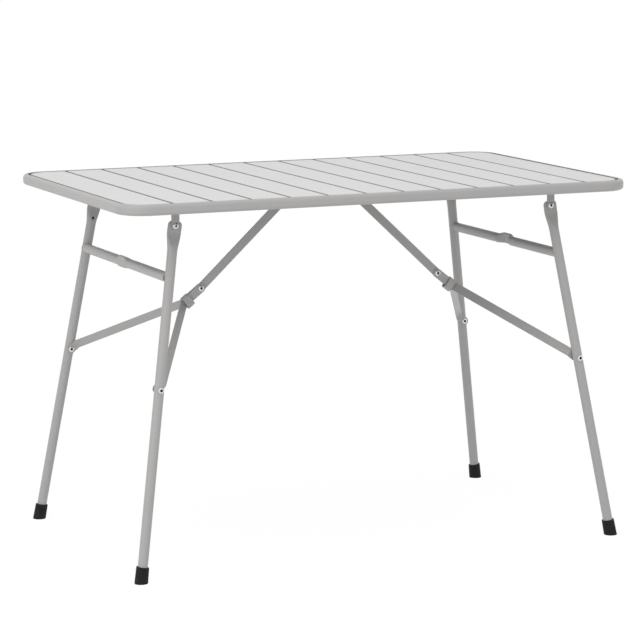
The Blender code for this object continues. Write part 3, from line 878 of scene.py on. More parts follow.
def oval(flat: float, radius: float, points: int) -> Profile:
    """Lay a circle whose halves stand apart by a flat run each side.

    Args:
        flat: Half of the flat run.
        radius: The radius of the ends.
        points: The number of points.

    Returns:
        The points.
    """
    found = []
    for index in range(points):
        angle = 2 * math.pi * (index + 0.5) / points
        over, up = math.cos(angle), math.sin(angle)
        found.append((math.copysign(flat, over) + radius * over, radius * up))
    return found


@dataclass(frozen=True)
class Riveting:
    """A tubular rivet with rolled heads."""

    shank: float = 0.0034
    bore: float = 0.0024
    head: float = 0.0060
    height: float = 0.0020
    hole: float = 0.0037
    rim: float = 0.00055
    crest: float = 0.00306
    crest_run: float = 0.0006
    crest_fall: float = 0.00006
    mouth: float = 0.0008
    arc_steps: int = 5

    def rolled_head(self, face: float, outward: float) -> Profile:
        """Lay a rolled head's section from the shank to the bore.

        Args:
            face: The distance of the face under the head.
            outward: 1 or -1, the way that the head stands.

        Returns:
            The points as a radius and a distance.
        """
        outer = arc((self.head - self.rim, self.rim), self.rim, -90.0, 60.0, self.arc_steps)
        crest = [(self.crest + self.crest_run, self.height - self.crest_fall), (self.crest, self.height)]
        mouth = arc((self.bore + self.mouth, self.height - self.mouth), self.mouth, 90.0, 180.0,
                    self.arc_steps)
        outline = [(self.shank, 0.0)] + outer + crest + mouth
        return [(radius, face + outward * height) for radius, height in outline]

    def make(self, name: str, x: float, z: float, low: float, high: float, head_low: bool = True,
             head_high: bool = True) -> bpy.types.Object:
        """Turn a rivet that runs across the table.

        Args:
            name: The rivet's name.
            x: Its place along the table.
            z: Its height.
            low: The face under its lower head, along Y.
            high: The face under its upper head.
            head_low: Whether the lower end has a head.
            head_high: Whether the upper end has one.

        Returns:
            The rivet.
        """
        top = self.rolled_head(high, 1.0) if head_high else [(self.shank, high), (self.bore, high)]
        bottom = self.rolled_head(low, -1.0) if head_low else [(self.shank, low), (self.bore, low)]
        rivet = turn_on_lathe(name, top + bottom[::-1])
        # Painted shade: the bore's wall is painted nearly black from its mouth inward, for the shadow inside
        # the hollow rivet
        lip = self.bore + self.mouth
        paint_hollow_shade(rivet, lambda place: clamp((lip - math.hypot(place.x, place.z)) / self.mouth))
        rivet.location = (x, 0.0, z)
        settle(rivet)
        smooth(rivet, angle=50.0)
        return rivet


LEG_LINE = LegLine()
RIVETING = Riveting()


def span(sign: int, inner: float, outer: float) -> Pair:
    """Order two distances to one side of the middle plane as a low and a high place."""
    return (inner, outer) if sign > 0 else (-outer, -inner)


def carry(piece: bpy.types.Object, origin: Vector, x_axis: Vector, y_axis: Vector, z_axis: Vector) -> None:
    """Carry flat work to a place, onto three axes.

    Args:
        piece: The flat work.
        origin: The new place of its origin.
        x_axis: The new direction of its X axis.
        y_axis: The new direction of its Y axis.
        z_axis: The new direction of its Z axis.
    """
    matrix = Matrix((x_axis, y_axis, z_axis)).transposed().to_4x4()
    matrix.translation = origin
    piece.data.transform(matrix)
    face_outward(piece)


# The top


@dataclass
class TableTop:
    """The slatted top: a rim of rolled sheet, thirteen pressed slats, and the bars under them."""

    finishes: Finishes
    length: float = 1.100
    width: float = 0.672
    height: float = 0.740
    rim_depth: float = 0.0215
    rim_lip: float = 0.0095
    rim_foot_lip: float = 0.0160
    rim_sheet: float = 0.0015
    corner: float = 0.058
    rim_round: float = 0.0072
    slat_count: int = 13
    end_slat: float = 0.0867
    groove: float = 0.0035
    rim_gap: float = 0.0060
    slat_sheet: float = 0.0012
    flange: float = 0.0070
    slat_round: float = 0.0030
    slat_corner: float = 0.0055
    slat_drop: float = 0.0004
    # Painted shade on the slats' turned-down flanges, which the grooves show: its strength, its start below
    # the top, its growth
    groove_shade: float = 0.86
    shade_start: float = 0.0001
    shade_depth: float = 0.0007
    rim_edge_round: float = 0.0003
    slat_edge_round: float = 0.00025
    bar_edge_round: float = 0.0007
    rim_corner_steps: int = 28
    rim_round_steps: int = 9
    slat_end_steps: int = 20
    slat_corner_steps: int = 6
    slat_round_steps: int = 7

    def past_corner(self, place: Vector) -> Pair:
        """Find how far a place lies past the middles of the outline's corners, along X and Y."""
        return (abs(place.x) - (self.length / 2 - self.corner), abs(place.y) - (self.width / 2 - self.corner))

    def on_edge(self, place: Vector) -> bool:
        """Say whether a place lies on the table's outline.

        Args:
            place: The place.

        Returns:
            Whether it is on the outline.
        """
        over_x, over_y = self.past_corner(place)
        reach = math.hypot(over_x, over_y) if over_x > 0.0 and over_y > 0.0 else max(over_x, over_y)
        return self.corner - reach < 2 * TOUCH

    def slide_in(self, place: Vector, distance: float) -> Vector:
        """Move a place square to the table's outline, towards the inside.

        Args:
            place: The place.
            distance: How far it moves.

        Returns:
            The moved place.
        """
        over_x, over_y = self.past_corner(place)
        if over_x <= 0.0 or over_y <= 0.0:
            over_x, over_y = (1.0, 0.0) if over_x > over_y else (0.0, 1.0)
        outward = Vector((math.copysign(over_x, place.x), math.copysign(over_y, place.y), 0.0)).normalized()
        return place - distance * outward

    def build_rim(self) -> None:
        """Roll the rim: two lips, a wall between them, and the gauge of the sheet."""
        rim = add_sheet("rolled_rim", self.length, self.width, (0.0, 0.0, self.height))
        with editing(rim):
            choose_verts(rim, lambda place: True)
            bpy.ops.mesh.bevel(affect="VERTICES", offset=self.corner, segments=self.rim_corner_steps)
            bpy.ops.mesh.select_mode(type="FACE")
            choose_all()
            bpy.ops.mesh.inset(thickness=self.rim_lip, use_even_offset=True)
            bpy.ops.mesh.delete(type="ONLY_FACE")
            choose_all()
            bpy.ops.mesh.duplicate()
            bpy.ops.transform.translate(value=(0.0, 0.0, -self.rim_depth))
            mesh = bmesh.from_edit_mesh(rim.data)
            for vert in mesh.verts:
                if vert.co.z < self.height - self.rim_depth / 2 and not self.on_edge(vert.co):
                    vert.co = self.slide_in(vert.co, self.rim_foot_lip - self.rim_lip)
            bmesh.update_edit_mesh(rim.data)
            choose_edges(rim, self.on_edge, level=True)
            bpy.ops.mesh.bridge_edge_loops()
            choose_all()
            bpy.ops.mesh.normals_make_consistent(inside=False)
            choose_edges(rim, self.on_edge, level=True)
            bpy.ops.mesh.bevel(affect="EDGES", offset=self.rim_round, segments=self.rim_round_steps)
        if max(rim.data.polygons, key=lambda face: face.center.x).normal.x < 0.0:
            turn_over(rim)
        thicken(rim, self.rim_sheet, offset=-1.0)
        soften(rim, self.rim_edge_round, angle=50.0)
        smooth(rim)
        self.finishes.finish(rim, Slot.FRAME_PAINT, "top", "top_rim")

    def slat_spans(self) -> list[Pair]:
        """Share the top's length out among the slats.

        Returns:
            The low and high X of each slat, from the left.
        """
        half = self.length / 2 - self.rim_lip - self.rim_gap
        first = -half + self.end_slat + self.groove
        middle = self.slat_count - 2
        width = (-2 * first - (middle - 1) * self.groove) / middle
        lows = [first + index * (width + self.groove) for index in range(middle)]
        return ([(-half, -half + self.end_slat)] + [(low, low + width) for low in lows]
                + [(half - self.end_slat, half)])

    def press_slat(self, name: str, low: float, high: float, round_end: int) -> bpy.types.Object:
        """Press a slat: a flat top with its flange turned down all round.

        Args:
            name: The slat's name.
            low: Its low X.
            high: Its high X.
            round_end: The sign of the end that follows the table's round corners, or 0.

        Returns:
            The slat.
        """
        top = self.height - self.slat_drop
        run = self.width - 2 * (self.rim_lip + self.rim_gap)
        slat = add_sheet(name, high - low, run, ((low + high) / 2, 0.0, top))
        edge = high if round_end > 0 else low

        def at_round_end(place: Vector) -> bool:
            """Say whether a place is at the end with the round corners."""
            return round_end != 0 and abs(place.x - edge) < TOUCH

        with editing(slat):
            choose_verts(slat, lambda place: not at_round_end(place))
            bpy.ops.mesh.bevel(affect="VERTICES", offset=self.slat_corner, segments=self.slat_corner_steps)
            if round_end:
                choose_verts(slat, at_round_end)
                radius = self.corner - self.rim_lip - self.rim_gap
                bpy.ops.mesh.bevel(affect="VERTICES", offset=radius, segments=self.slat_end_steps)
            choose_edges(slat, lambda place: True)
            bpy.ops.mesh.extrude_region_move(TRANSFORM_OT_translate={"value": (0.0, 0.0, -self.flange)})
            choose_edges(slat, lambda place: abs(place.z - top) < TOUCH)
            bpy.ops.mesh.bevel(affect="EDGES", offset=self.slat_round, segments=self.slat_round_steps)
        if max(slat.data.polygons, key=lambda face: face.area).normal.z < 0.0:
            turn_over(slat)
        thicken(slat, self.slat_sheet, offset=-1.0)
        soften(slat, self.slat_edge_round, angle=60.0)
        # Painted shade: the flanges below the top are painted dark, for the shadow deep in the grooves
        shade_top = top - self.shade_start
        paint_hollow_shade(slat, lambda place: self.groove_shade * clamp((shade_top - place.z) / self.shade_depth))
        smooth(slat)
        return slat

    def build_slats(self) -> None:
        """Lay the slats: both ends and one middle slat are pressed, and the rest are its copies."""
        spans = self.slat_spans()
        model = self.press_slat("pressed_slat_02", *spans[1], 0)
        slats = [self.press_slat("pressed_slat_01", *spans[0], -1), model]
        for number in range(3, self.slat_count):
            slat = model.copy()
            slat.data = model.data.copy()
            slat.name = slat.data.name = f"pressed_slat_{number:02d}"
            bpy.context.scene.collection.objects.link(slat)
            slat.location.x = spans[number - 1][0] - spans[1][0]
            slats.append(settle(slat))
        slats.append(self.press_slat(f"pressed_slat_{self.slat_count:02d}", *spans[-1], 1))
        for number, slat in enumerate(slats, start=1):
            self.finishes.finish(slat, Slot.TOP_PAINT, "top", f"slat_{number:02d}")

    def build_bars(self) -> None:
        """Make the flat bars that carry the slats and the brackets, with rolled edges."""
        bars = ["rail_near", "rail_far"]
        bars += [f"cross_rail_{side.word}_{place}" for side in Side for place in ("outer", "inner")]
        for node in bars:
            low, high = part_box(node)
            bar = add_sheet(f"flat_bar_{node}", high.x - low.x, high.y - low.y, (low + high) / 2)
            thicken(bar, high.z - low.z)
            soften(bar, self.bar_edge_round, segments=3)
            smooth(bar)
            self.finishes.finish(bar, Slot.TOP_PAINT, "top", node)

    def build(self) -> None:
        """Build the whole top."""
        self.build_rim()
        self.build_slats()
        self.build_bars()


# The legs


@dataclass
class LegPair:
    """A folding pair of legs with its crossbar, feet, brackets and rivets."""

    finishes: Finishes
    side: Side
    line: LegLine = LEG_LINE
    rivets: Riveting = RIVETING
    points: int = 48
    press_steps: int = 18
    paddle_steps: int = 8
    saddle_steps: int = 12
    paddle: float = 0.0032
    paddle_above: float = 0.0090
    paddle_corner: float = 0.0085
    morph: float = 0.0400
    side_hole_drop: float = 0.0370
    side_hole: float = 0.0028
    bar_drop: float = 0.1017
    bar_offset: float = 0.0030
    bar_end_inset: float = 0.0060
    bar_radius: float = 0.0098
    bar_lip: float = 0.0007
    saddle: float = 0.0070
    saddle_spread: float = 0.0018
    saddle_lift: float = 0.0009
    saddle_half: float = 0.0130
    saddle_run: float = 0.0180
    cap_length: float = 0.0320
    cap_floor: float = 0.0060
    cap_top: float = 0.0127
    cap_bottom: float = 0.0136
    cap_rib: float = 0.0006
    cap_ribs: int = 16
    rib_points: int = 8
    rib_sharpness: float = 1.35
    rib_cut: float = 0.1
    lip_steps: int = 4
    band_lips: float = 2.2
    rib_start_lips: float = 2.8
    weld_bead: float = 0.0013
    weld_ripple: float = 0.10
    weld_ripples: int = 14
    weld_bite: float = 0.0002
    weld_lift: float = 0.35
    weld_flat: float = 0.8
    weld_turns: int = 48
    weld_points: int = 10
    bracket_sheet: float = 0.0025
    tab_width: float = 0.0165
    bracket_foot: float = 0.0260
    bracket_bend: float = 0.0020

    @property
    def body(self) -> str:
        """The body that the legs are."""
        return f"legs_{self.side.word}"

    @property
    def tube_end(self) -> float:
        """How far below the pivot a tube ends, inside its cap."""
        return self.line.length - self.cap_floor

    @property
    def tab_inner(self) -> float:
        """The distance of a bracket tab's inner face from the middle plane."""
        return self.line.pivot_y + self.paddle / 2 + GAP

    def tube_sections(self) -> list[tuple[float, float, float]]:
        """Lay a leg's sections: a round tube, pressed flat and rounded off at its top.

        Returns:
            The sections from the foot up, each as drop, flat run and radius.
        """
        thin = self.paddle / 2
        wide = flattened(self.line.radius, thin)
        sections = [(self.tube_end, 0.0, self.line.radius)]
        for step in range(self.press_steps, -1, -1):
            part = step / self.press_steps
            radius = thin + (self.line.radius - thin) * ease(part)
            drop = self.line.straight + self.morph * part
            sections.append((drop, flattened(self.line.radius, radius), radius))
        for step in range(self.paddle_steps + 1):
            angle = math.pi / 2 * step / self.paddle_steps
            drop = self.paddle_corner - self.paddle_above - self.paddle_corner * math.sin(angle)
            inset = self.paddle_corner * (1 - math.cos(angle))
            sections.append((drop, wide - inset, thin))
        return sections

    def build_leg(self, depth: Depth) -> bpy.types.Object:
        """Draw one tube leg, press its top flat and drill it.

        Args:
            depth: The long edge.

        Returns:
            The leg.
        """
        rings = [[self.line.place(self.side, depth, drop, inward, outward)
                  for inward, outward in oval(flat, radius, self.points)]
                 for drop, flat, radius in self.tube_sections()]
        leg = loft(f"tube_leg_{self.side.word}_{depth.word}", rings)
        for drop in (0.0, self.line.strap_drop):
            place = self.line.place(self.side, depth, drop)
            drill(leg, add_pin(place, self.rivets.hole, 4 * self.line.radius))
        hole = self.line.place(self.side, depth, self.side_hole_drop, 0.0, -self.line.radius)
        drill(leg, add_pin(hole, self.side_hole, 2 * self.line.radius))
        # Painted shade: the shallow hole's bottom is painted black where the tube's dark inside would show
        bottom = self.line.across(self.side_hole_drop)

        def depth_at(place: Vector) -> float:
            """Paint the bottom of the side hole black, as painted shade for the dark inside of the tube."""
            beside = math.hypot(place.x - hole.x, place.z - hole.z)
            return float(beside < self.side_hole + TOUCH and abs(abs(place.y) - bottom) < 2 * TOUCH)

        paint_hollow_shade(leg, depth_at)
        smooth(leg, angle=45.0)
        return leg

    def cap_ring(self, depth: Depth, drop: float, radius: float, rib: float = 0.0) -> Ring:
        """Lay one ring of a foot cap.

        Args:
            depth: The long edge.
            drop: The distance below the pivot.
            radius: The ring's radius over its ribs.
            rib: The depth between the ribs.

        Returns:
            The ring's points.
        """
        found = []
        count = self.rib_points * self.cap_ribs
        for index in range(count):
            angle = 2 * math.pi * index / count
            wave = clamp(math.cos(self.cap_ribs * angle) * self.rib_sharpness - self.rib_cut)
            reach = radius - rib * (1.0 - wave)
            inward, outward = reach * math.cos(angle), reach * math.sin(angle)
            found.append(self.line.place(self.side, depth, drop, inward, outward))
        return found

    def build_cap(self, depth: Depth) -> bpy.types.Object:
        """Mould one ribbed rubber foot, level with the floor.

        Args:
            depth: The long edge.

        Returns:
            The foot.
        """
        bore = self.line.radius + GAP
        top = self.line.length - self.cap_length
        bottom = self.line.length + 2 * self.cap_floor
        lip = (self.cap_top - bore) / 2
        sections = [(self.tube_end + GAP, bore, 0.0), (top, bore, 0.0)]
        sections += [(top + lip - height, self.cap_top - lip + reach, 0.0)
                     for reach, height in arc((0.0, 0.0), lip, 90.0, 0.0, self.lip_steps)]
        sections += [(top + self.band_lips * lip, self.cap_top, 0.0),
                     (top + self.rib_start_lips * lip, self.cap_top + TOUCH, self.cap_rib),
                     (bottom, self.cap_bottom, self.cap_rib)]
        cap = loft(f"rubber_foot_{self.side.word}_{depth.word}",
                   [self.cap_ring(depth, *section) for section in sections])
        with editing(cap):
            choose_all()
            bpy.ops.mesh.bisect(plane_co=(0.0, 0.0, 0.0), plane_no=(0.0, 0.0, 1.0), use_fill=True,
                                clear_inner=True)
        face_outward(cap)
        smooth(cap, angle=50.0)
        return cap

    def build_crossbar(self, legs: Sequence[bpy.types.Object]) -> bpy.types.Object:
        """Draw the crossbar, press its saddle and cope its ends to the legs.

        Args:
            legs: The two legs.

        Returns:
            The crossbar.
        """
        thin = self.saddle / 2
        end = self.line.across(self.bar_drop) - self.bar_end_inset
        # Each station has its distance from the middle, its radius, its share of the press and its trim
        half = [(end, self.bar_radius, 0.0, self.bar_lip), (end - self.bar_lip, self.bar_radius, 0.0, 0.0)]
        for step in range(self.saddle_steps, -1, -1):
            part = step / self.saddle_steps
            radius = thin + (self.bar_radius - thin) * ease(part)
            half.append((self.saddle_half + self.saddle_run * part, radius, 1 - ease(part), 0.0))
        stations = [(-across, radius, press, trim) for across, radius, press, trim in half] + half[::-1]
        rings = []
        for across, radius, press, trim in stations:
            centre = press * (thin - self.bar_radius) - self.bar_offset
            drop = self.bar_drop - press * self.saddle_lift
            flat = self.bar_radius - radius + press * self.saddle_spread
            ring = []
            for along, inward in oval(flat, radius - trim, self.points):
                place = self.line.place(Side.RIGHT, Depth.FAR, drop + along, centre + inward)
                ring.append(Vector((self.side.value * place.x, across, place.z)))
            rings.append(ring)
        bar = loft(f"crossbar_tube_{self.side.word}", rings)
        for leg in legs:
            apply_modifier(bar, "BOOLEAN", object=leg, operation="DIFFERENCE", solver="EXACT")
        smooth(bar, angle=45.0)
        return bar

    def build_weld(self, depth: Depth) -> bpy.types.Object:
        """Lay the weld bead where the crossbar meets a leg.

        Args:
            depth: The long edge.

        Returns:
            The bead.
        """
        put_down()
        bpy.ops.mesh.primitive_torus_add(major_segments=self.weld_turns, minor_segments=self.weld_points,
                                         major_radius=self.bar_radius, minor_radius=self.weld_bead)
        weld = named(f"weld_bead_{self.side.word}_{depth.word}")
        for vert in weld.data.vertices:
            turn = 2 * math.pi * (vert.index // self.weld_points) / self.weld_turns
            roll = 2 * math.pi * (vert.index % self.weld_points) / self.weld_points
            ripple = self.weld_bead * (1.0 + self.weld_ripple * math.sin(self.weld_ripples * turn))
            reach = self.bar_radius - self.weld_bite + ripple * math.cos(roll)
            along, inward = reach * math.sin(turn), reach * math.cos(turn) - self.bar_offset
            beside = min(abs(inward), self.line.radius)
            wall = max(self.bar_end_inset, math.sqrt(self.line.radius ** 2 - beside ** 2))
            rise = ripple * (self.weld_lift + math.sin(roll)) * self.weld_flat
            vert.co = self.line.place(self.side, depth, self.bar_drop + along, inward,
                                      self.weld_bite - wall - rise)
        face_outward(weld)
        smooth(weld, angle=60.0)
        return weld

    def build_bracket(self, depth: Depth) -> bpy.types.Object:
        """Bend the tab that a leg hangs on.

        Args:
            depth: The long edge.

        Returns:
            The bracket.
        """
        sign = depth.value
        tab_middle = self.tab_inner + self.bracket_sheet / 2
        turn = self.bracket_bend + self.bracket_sheet / 2
        foot_height = BRACKET_TOP - self.bracket_sheet / 2
        foot_run = self.bracket_foot - turn
        tab_run = foot_height - turn - self.line.pivot_z
        bend_length = turn * math.pi / 2
        reach = foot_run + bend_length + tab_run
        tab = cut_bar(f"leg_tab_{self.side.word}_{depth.word}", reach, self.tab_width, self.bracket_sheet,
                      [reach], self.rivets.hole, square_start=True)
        bend_line = BendLine((0.0, 0.0), 0.0, ((foot_run, 0.0), (bend_length, -math.pi / 2),
                                               (tab_run + self.tab_width / 2, 0.0)))
        origin = Vector((self.side.value * self.line.pivot_x, sign * (tab_middle - turn - foot_run),
                         foot_height))
        bend(tab, bend_line, origin, sign * ACROSS, UP, ALONG)
        smooth(tab, angle=45.0)
        return tab

    def build_rivets(self, depth: Depth) -> None:
        """Set the rivets of one leg: at its pivot and at its strap.

        Args:
            depth: The long edge.
        """
        sign, word = depth.value, f"{self.side.word}_{depth.word}"
        pivot = span(sign, self.line.pivot_y - self.paddle / 2 - GAP,
                     self.tab_inner + self.bracket_sheet + GAP)
        rivet = self.rivets.make(f"zinc_pivot_rivet_{word}", self.side.value * self.line.pivot_x,
                                 self.line.pivot_z, *pivot)
        self.finishes.finish(rivet, Slot.ZINC, "top", f"pivot_rivet_{word}")
        low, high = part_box(f"strap_rivet_{word}")
        height = self.rivets.height
        rivet = self.rivets.make(f"zinc_strap_rivet_{word}", (low.x + high.x) / 2, (low.z + high.z) / 2,
                                 low.y + height, high.y - height)
        self.finishes.finish(rivet, Slot.ZINC, self.body, f"strap_rivet_{word}")

    def build(self) -> None:
        """Build the pair of legs and what hangs on it."""
        legs = [self.build_leg(depth) for depth in Depth]
        bar = self.build_crossbar(legs)
        self.finishes.finish(bar, Slot.FRAME_PAINT, self.body, f"crossbar_{self.side.word}")
        for depth, leg in zip(Depth, legs):
            word = f"{self.side.word}_{depth.word}"
            self.finishes.finish(leg, Slot.FRAME_PAINT, self.body, f"leg_{word}")
            self.finishes.finish(self.build_weld(depth), Slot.FRAME_PAINT, self.body)
            self.finishes.finish(self.build_cap(depth), Slot.RUBBER, self.body, f"foot_cap_{word}")
            self.finishes.finish(self.build_bracket(depth), Slot.FRAME_PAINT, "top", f"leg_bracket_{word}")
            self.build_rivets(depth)


# The braces


@dataclass
class Brace:
    """A folding brace: the upper strap, the two fork arms, the knee and its lock ring."""

    finishes: Finishes
    side: Side
    line: LegLine = LEG_LINE
    rivets: Riveting = RIVETING
    brace_x: float = 0.0810
    brace_z: float = 0.6962
    knee_x: float = 0.2679
    knee_z: float = 0.5226
    strap_width: float = 0.0176
    strap_sheet: float = 0.0030
    fork_width: float = 0.0180
    fork_sheet: float = 0.0025
    fork_turn: float = 0.0060
    fork_heel: float = 0.0130
    leg_gap: float = 0.0022
    ring_offset: float = 0.0380
    ring_length: float = 0.0164
    ring_nose_lap: float = 0.0012
    ring_wall: float = 0.0020
    ring_height_play: float = 0.0026
    ring_side_play: float = 0.0004
    ring_corner: float = 0.0030
    ring_crease: float = 0.0014
    ring_crease_round: float = 0.0012
    ring_edge_round: float = 0.00035
    ring_corner_steps: int = 8
    ring_crease_steps: int = 4
    ear_width: float = 0.0180
    ear_sheet: float = 0.0025

    @property
    def knee(self) -> Vector:
        """The middle of the knee."""
        return Vector((self.side.value * self.knee_x, 0.0, self.knee_z))

    @property
    def hanger(self) -> Vector:
        """The middle of the upper strap's rivet."""
        return Vector((self.side.value * self.brace_x, 0.0, self.brace_z))

    @property
    def heel(self) -> Vector:
        """The place of the fork's rivets, in the middle plane."""
        place = self.line.place(self.side, Depth.FAR, self.line.strap_drop)
        return Vector((place.x, 0.0, place.z))

    @property
    def fork_way(self) -> Vector:
        """The direction from the knee to the fork's rivets."""
        return (self.heel - self.knee).normalized()

    @property
    def fork_inner(self) -> float:
        """The distance of a fork arm's inner face from the middle plane, at the knee."""
        return self.strap_sheet / 2 + GAP

    @property
    def knee_face(self) -> float:
        """The distance of the face under a knee rivet's head."""
        return self.fork_inner + self.fork_sheet + GAP

    @staticmethod
    def square(way: Vector) -> Vector:
        """Find the direction square to another one in the plane of the fold."""
        return Vector((-way.z, 0.0, way.x))

    def build_upper(self) -> None:
        """Cut the flat upper strap."""
        run = self.knee - self.hanger
        strap = cut_bar(f"flat_strap_{self.side.word}", run.length, self.strap_width, self.strap_sheet,
                        [0.0, run.length], self.rivets.hole)
        way = run.normalized()
        carry(strap, self.hanger, way, self.square(way), ACROSS)
        smooth(strap, angle=45.0)
        self.finishes.finish(strap, Slot.FRAME_PAINT, f"strap_{self.side.word}",
                             f"upper_strap_{self.side.word}")

    def build_fork_arm(self, depth: Depth) -> None:
        """Bend one fork arm from the knee out to its leg.

        Args:
            depth: The long edge.
        """
        nose = self.ring_offset + self.ring_length / 2 - self.ring_nose_lap
        nose_y = self.fork_inner + self.fork_sheet / 2
        leg_y = self.line.across(self.line.strap_drop)
        heel_y = leg_y - self.line.radius - self.leg_gap - self.fork_sheet / 2
        along = (self.heel - self.knee).length - nose - self.fork_heel
        out, radius = heel_y - nose_y, self.fork_turn
        slant = math.sqrt(along ** 2 + (out - 2 * radius) ** 2 - 4 * radius ** 2)
        splay = math.atan2(out - 2 * radius, along) + math.atan2(2 * radius, slant)
        bend_length = radius * splay
        length = nose + 2 * bend_length + slant + self.fork_heel
        word = f"{self.side.word}_{depth.word}"
        arm = cut_bar(f"fork_arm_{word}", length, self.fork_width, self.fork_sheet, [0.0, length],
                      self.rivets.hole)
        heel_run = self.fork_heel + self.fork_width / 2
        bend_line = BendLine((0.0, nose_y), 0.0, ((nose, 0.0), (bend_length, splay), (slant, 0.0),
                                                  (bend_length, -splay), (heel_run, 0.0)))
        way = self.fork_way
        bend(arm, bend_line, self.knee, way, depth.value * ACROSS, self.square(way))
        smooth(arm, angle=45.0)
        self.finishes.finish(arm, Slot.FRAME_PAINT, f"fork_{self.side.word}", f"fork_strap_{word}")

    def build_ring(self) -> None:
        """Form the flat lock ring, with a soft crease down each broad face."""
        way = self.fork_way
        upright = self.square(way) * (1 if self.square(way).z > 0 else -1)
        half_height = self.fork_width / 2 + self.ring_height_play + self.ring_wall
        half_width = self.knee_face + self.rivets.height + self.ring_side_play + self.ring_wall
        centre = self.knee + way * self.ring_offset - upright * (self.ring_height_play - GAP)
        shoulder = half_width - self.ring_crease
        corners = [(half_width, 0.0), (shoulder, half_height), (-shoulder, half_height), (-half_width, 0.0),
                   (-shoulder, -half_height), (shoulder, -half_height)]
        ring = loft(f"lock_band_{self.side.word}", [[Vector((x, y, 0.0)) for x, y in corners]], close=False)
        with editing(ring):
            choose_verts(ring, lambda place: abs(place.y) > TOUCH)
            bpy.ops.mesh.bevel(affect="VERTICES", offset=self.ring_corner + self.ring_wall,
                               segments=self.ring_corner_steps)
            choose_verts(ring, lambda place: abs(place.y) < TOUCH)
            bpy.ops.mesh.bevel(affect="VERTICES", offset=self.ring_crease_round,
                               segments=self.ring_crease_steps)
            choose_all()
            bpy.ops.mesh.extrude_region_move(TRANSFORM_OT_translate={"value": (0.0, 0.0, self.ring_length)})
            choose_all()
            bpy.ops.transform.translate(value=(0.0, 0.0, -self.ring_length / 2))
            bpy.ops.mesh.normals_make_consistent(inside=False)
        outer = max(ring.data.polygons, key=lambda face: face.center.x)
        thicken(ring, self.ring_wall, -1.0 if outer.normal.x > 0.0 else 1.0)
        carry(ring, centre, ACROSS, upright, ACROSS.cross(upright))
        soften(ring, self.ring_edge_round, angle=50.0)
        smooth(ring, angle=45.0)
        self.finishes.finish(ring, Slot.FRAME_PAINT, f"ring_{self.side.word}", f"lock_ring_{self.side.word}")

    def build_bracket(self) -> None:
        """Bend the bracket with two ears that the upper strap hangs in."""
        half, turn = self.ear_width / 2, self.ear_sheet
        web = BRACKET_TOP - self.ear_sheet / 2
        ear_run = web - turn - self.brace_z
        bend_length = turn * math.pi / 2
        ear_middle = self.fork_inner + self.ear_sheet / 2
        web_run = 2 * (ear_middle - turn)
        reach = 2 * ear_run + 2 * bend_length + web_run
        ears = cut_bar(f"eared_bracket_{self.side.word}", reach, self.ear_width, self.ear_sheet, [0.0, reach],
                       self.rivets.hole)
        bend_line = BendLine((-ear_middle, self.brace_z), math.pi / 2,
                             ((ear_run, 0.0), (bend_length, -math.pi / 2), (web_run, 0.0),
                              (bend_length, -math.pi / 2), (ear_run + half, 0.0)))
        bend(ears, bend_line, self.side.value * self.brace_x * ALONG, ACROSS, UP, ALONG)
        smooth(ears, angle=45.0)
        self.finishes.finish(ears, Slot.FRAME_PAINT, "top", f"brace_bracket_{self.side.word}")

    def build_rivets(self) -> None:
        """Set the rivets of the hanger and of the knee."""
        word = self.side.word
        rivet = self.rivets.make(f"zinc_brace_rivet_{word}", self.hanger.x, self.hanger.z, -self.knee_face,
                                 self.knee_face)
        self.finishes.finish(rivet, Slot.ZINC, "top", f"brace_rivet_{word}")
        for depth in Depth:
            low, high = span(depth.value, self.fork_inner, self.knee_face)
            rivet = self.rivets.make(f"zinc_knee_rivet_{word}_{depth.word}", self.knee.x, self.knee.z,
                                     low, high, depth is Depth.NEAR, depth is Depth.FAR)
            self.finishes.finish(rivet, Slot.ZINC, f"fork_{word}", f"knee_rivet_{word}_{depth.word}")

    def build(self) -> None:
        """Build the brace."""
        self.build_bracket()
        self.build_upper()
        for depth in Depth:
            self.build_fork_arm(depth)
        self.build_ring()
        self.build_rivets()


# The studio


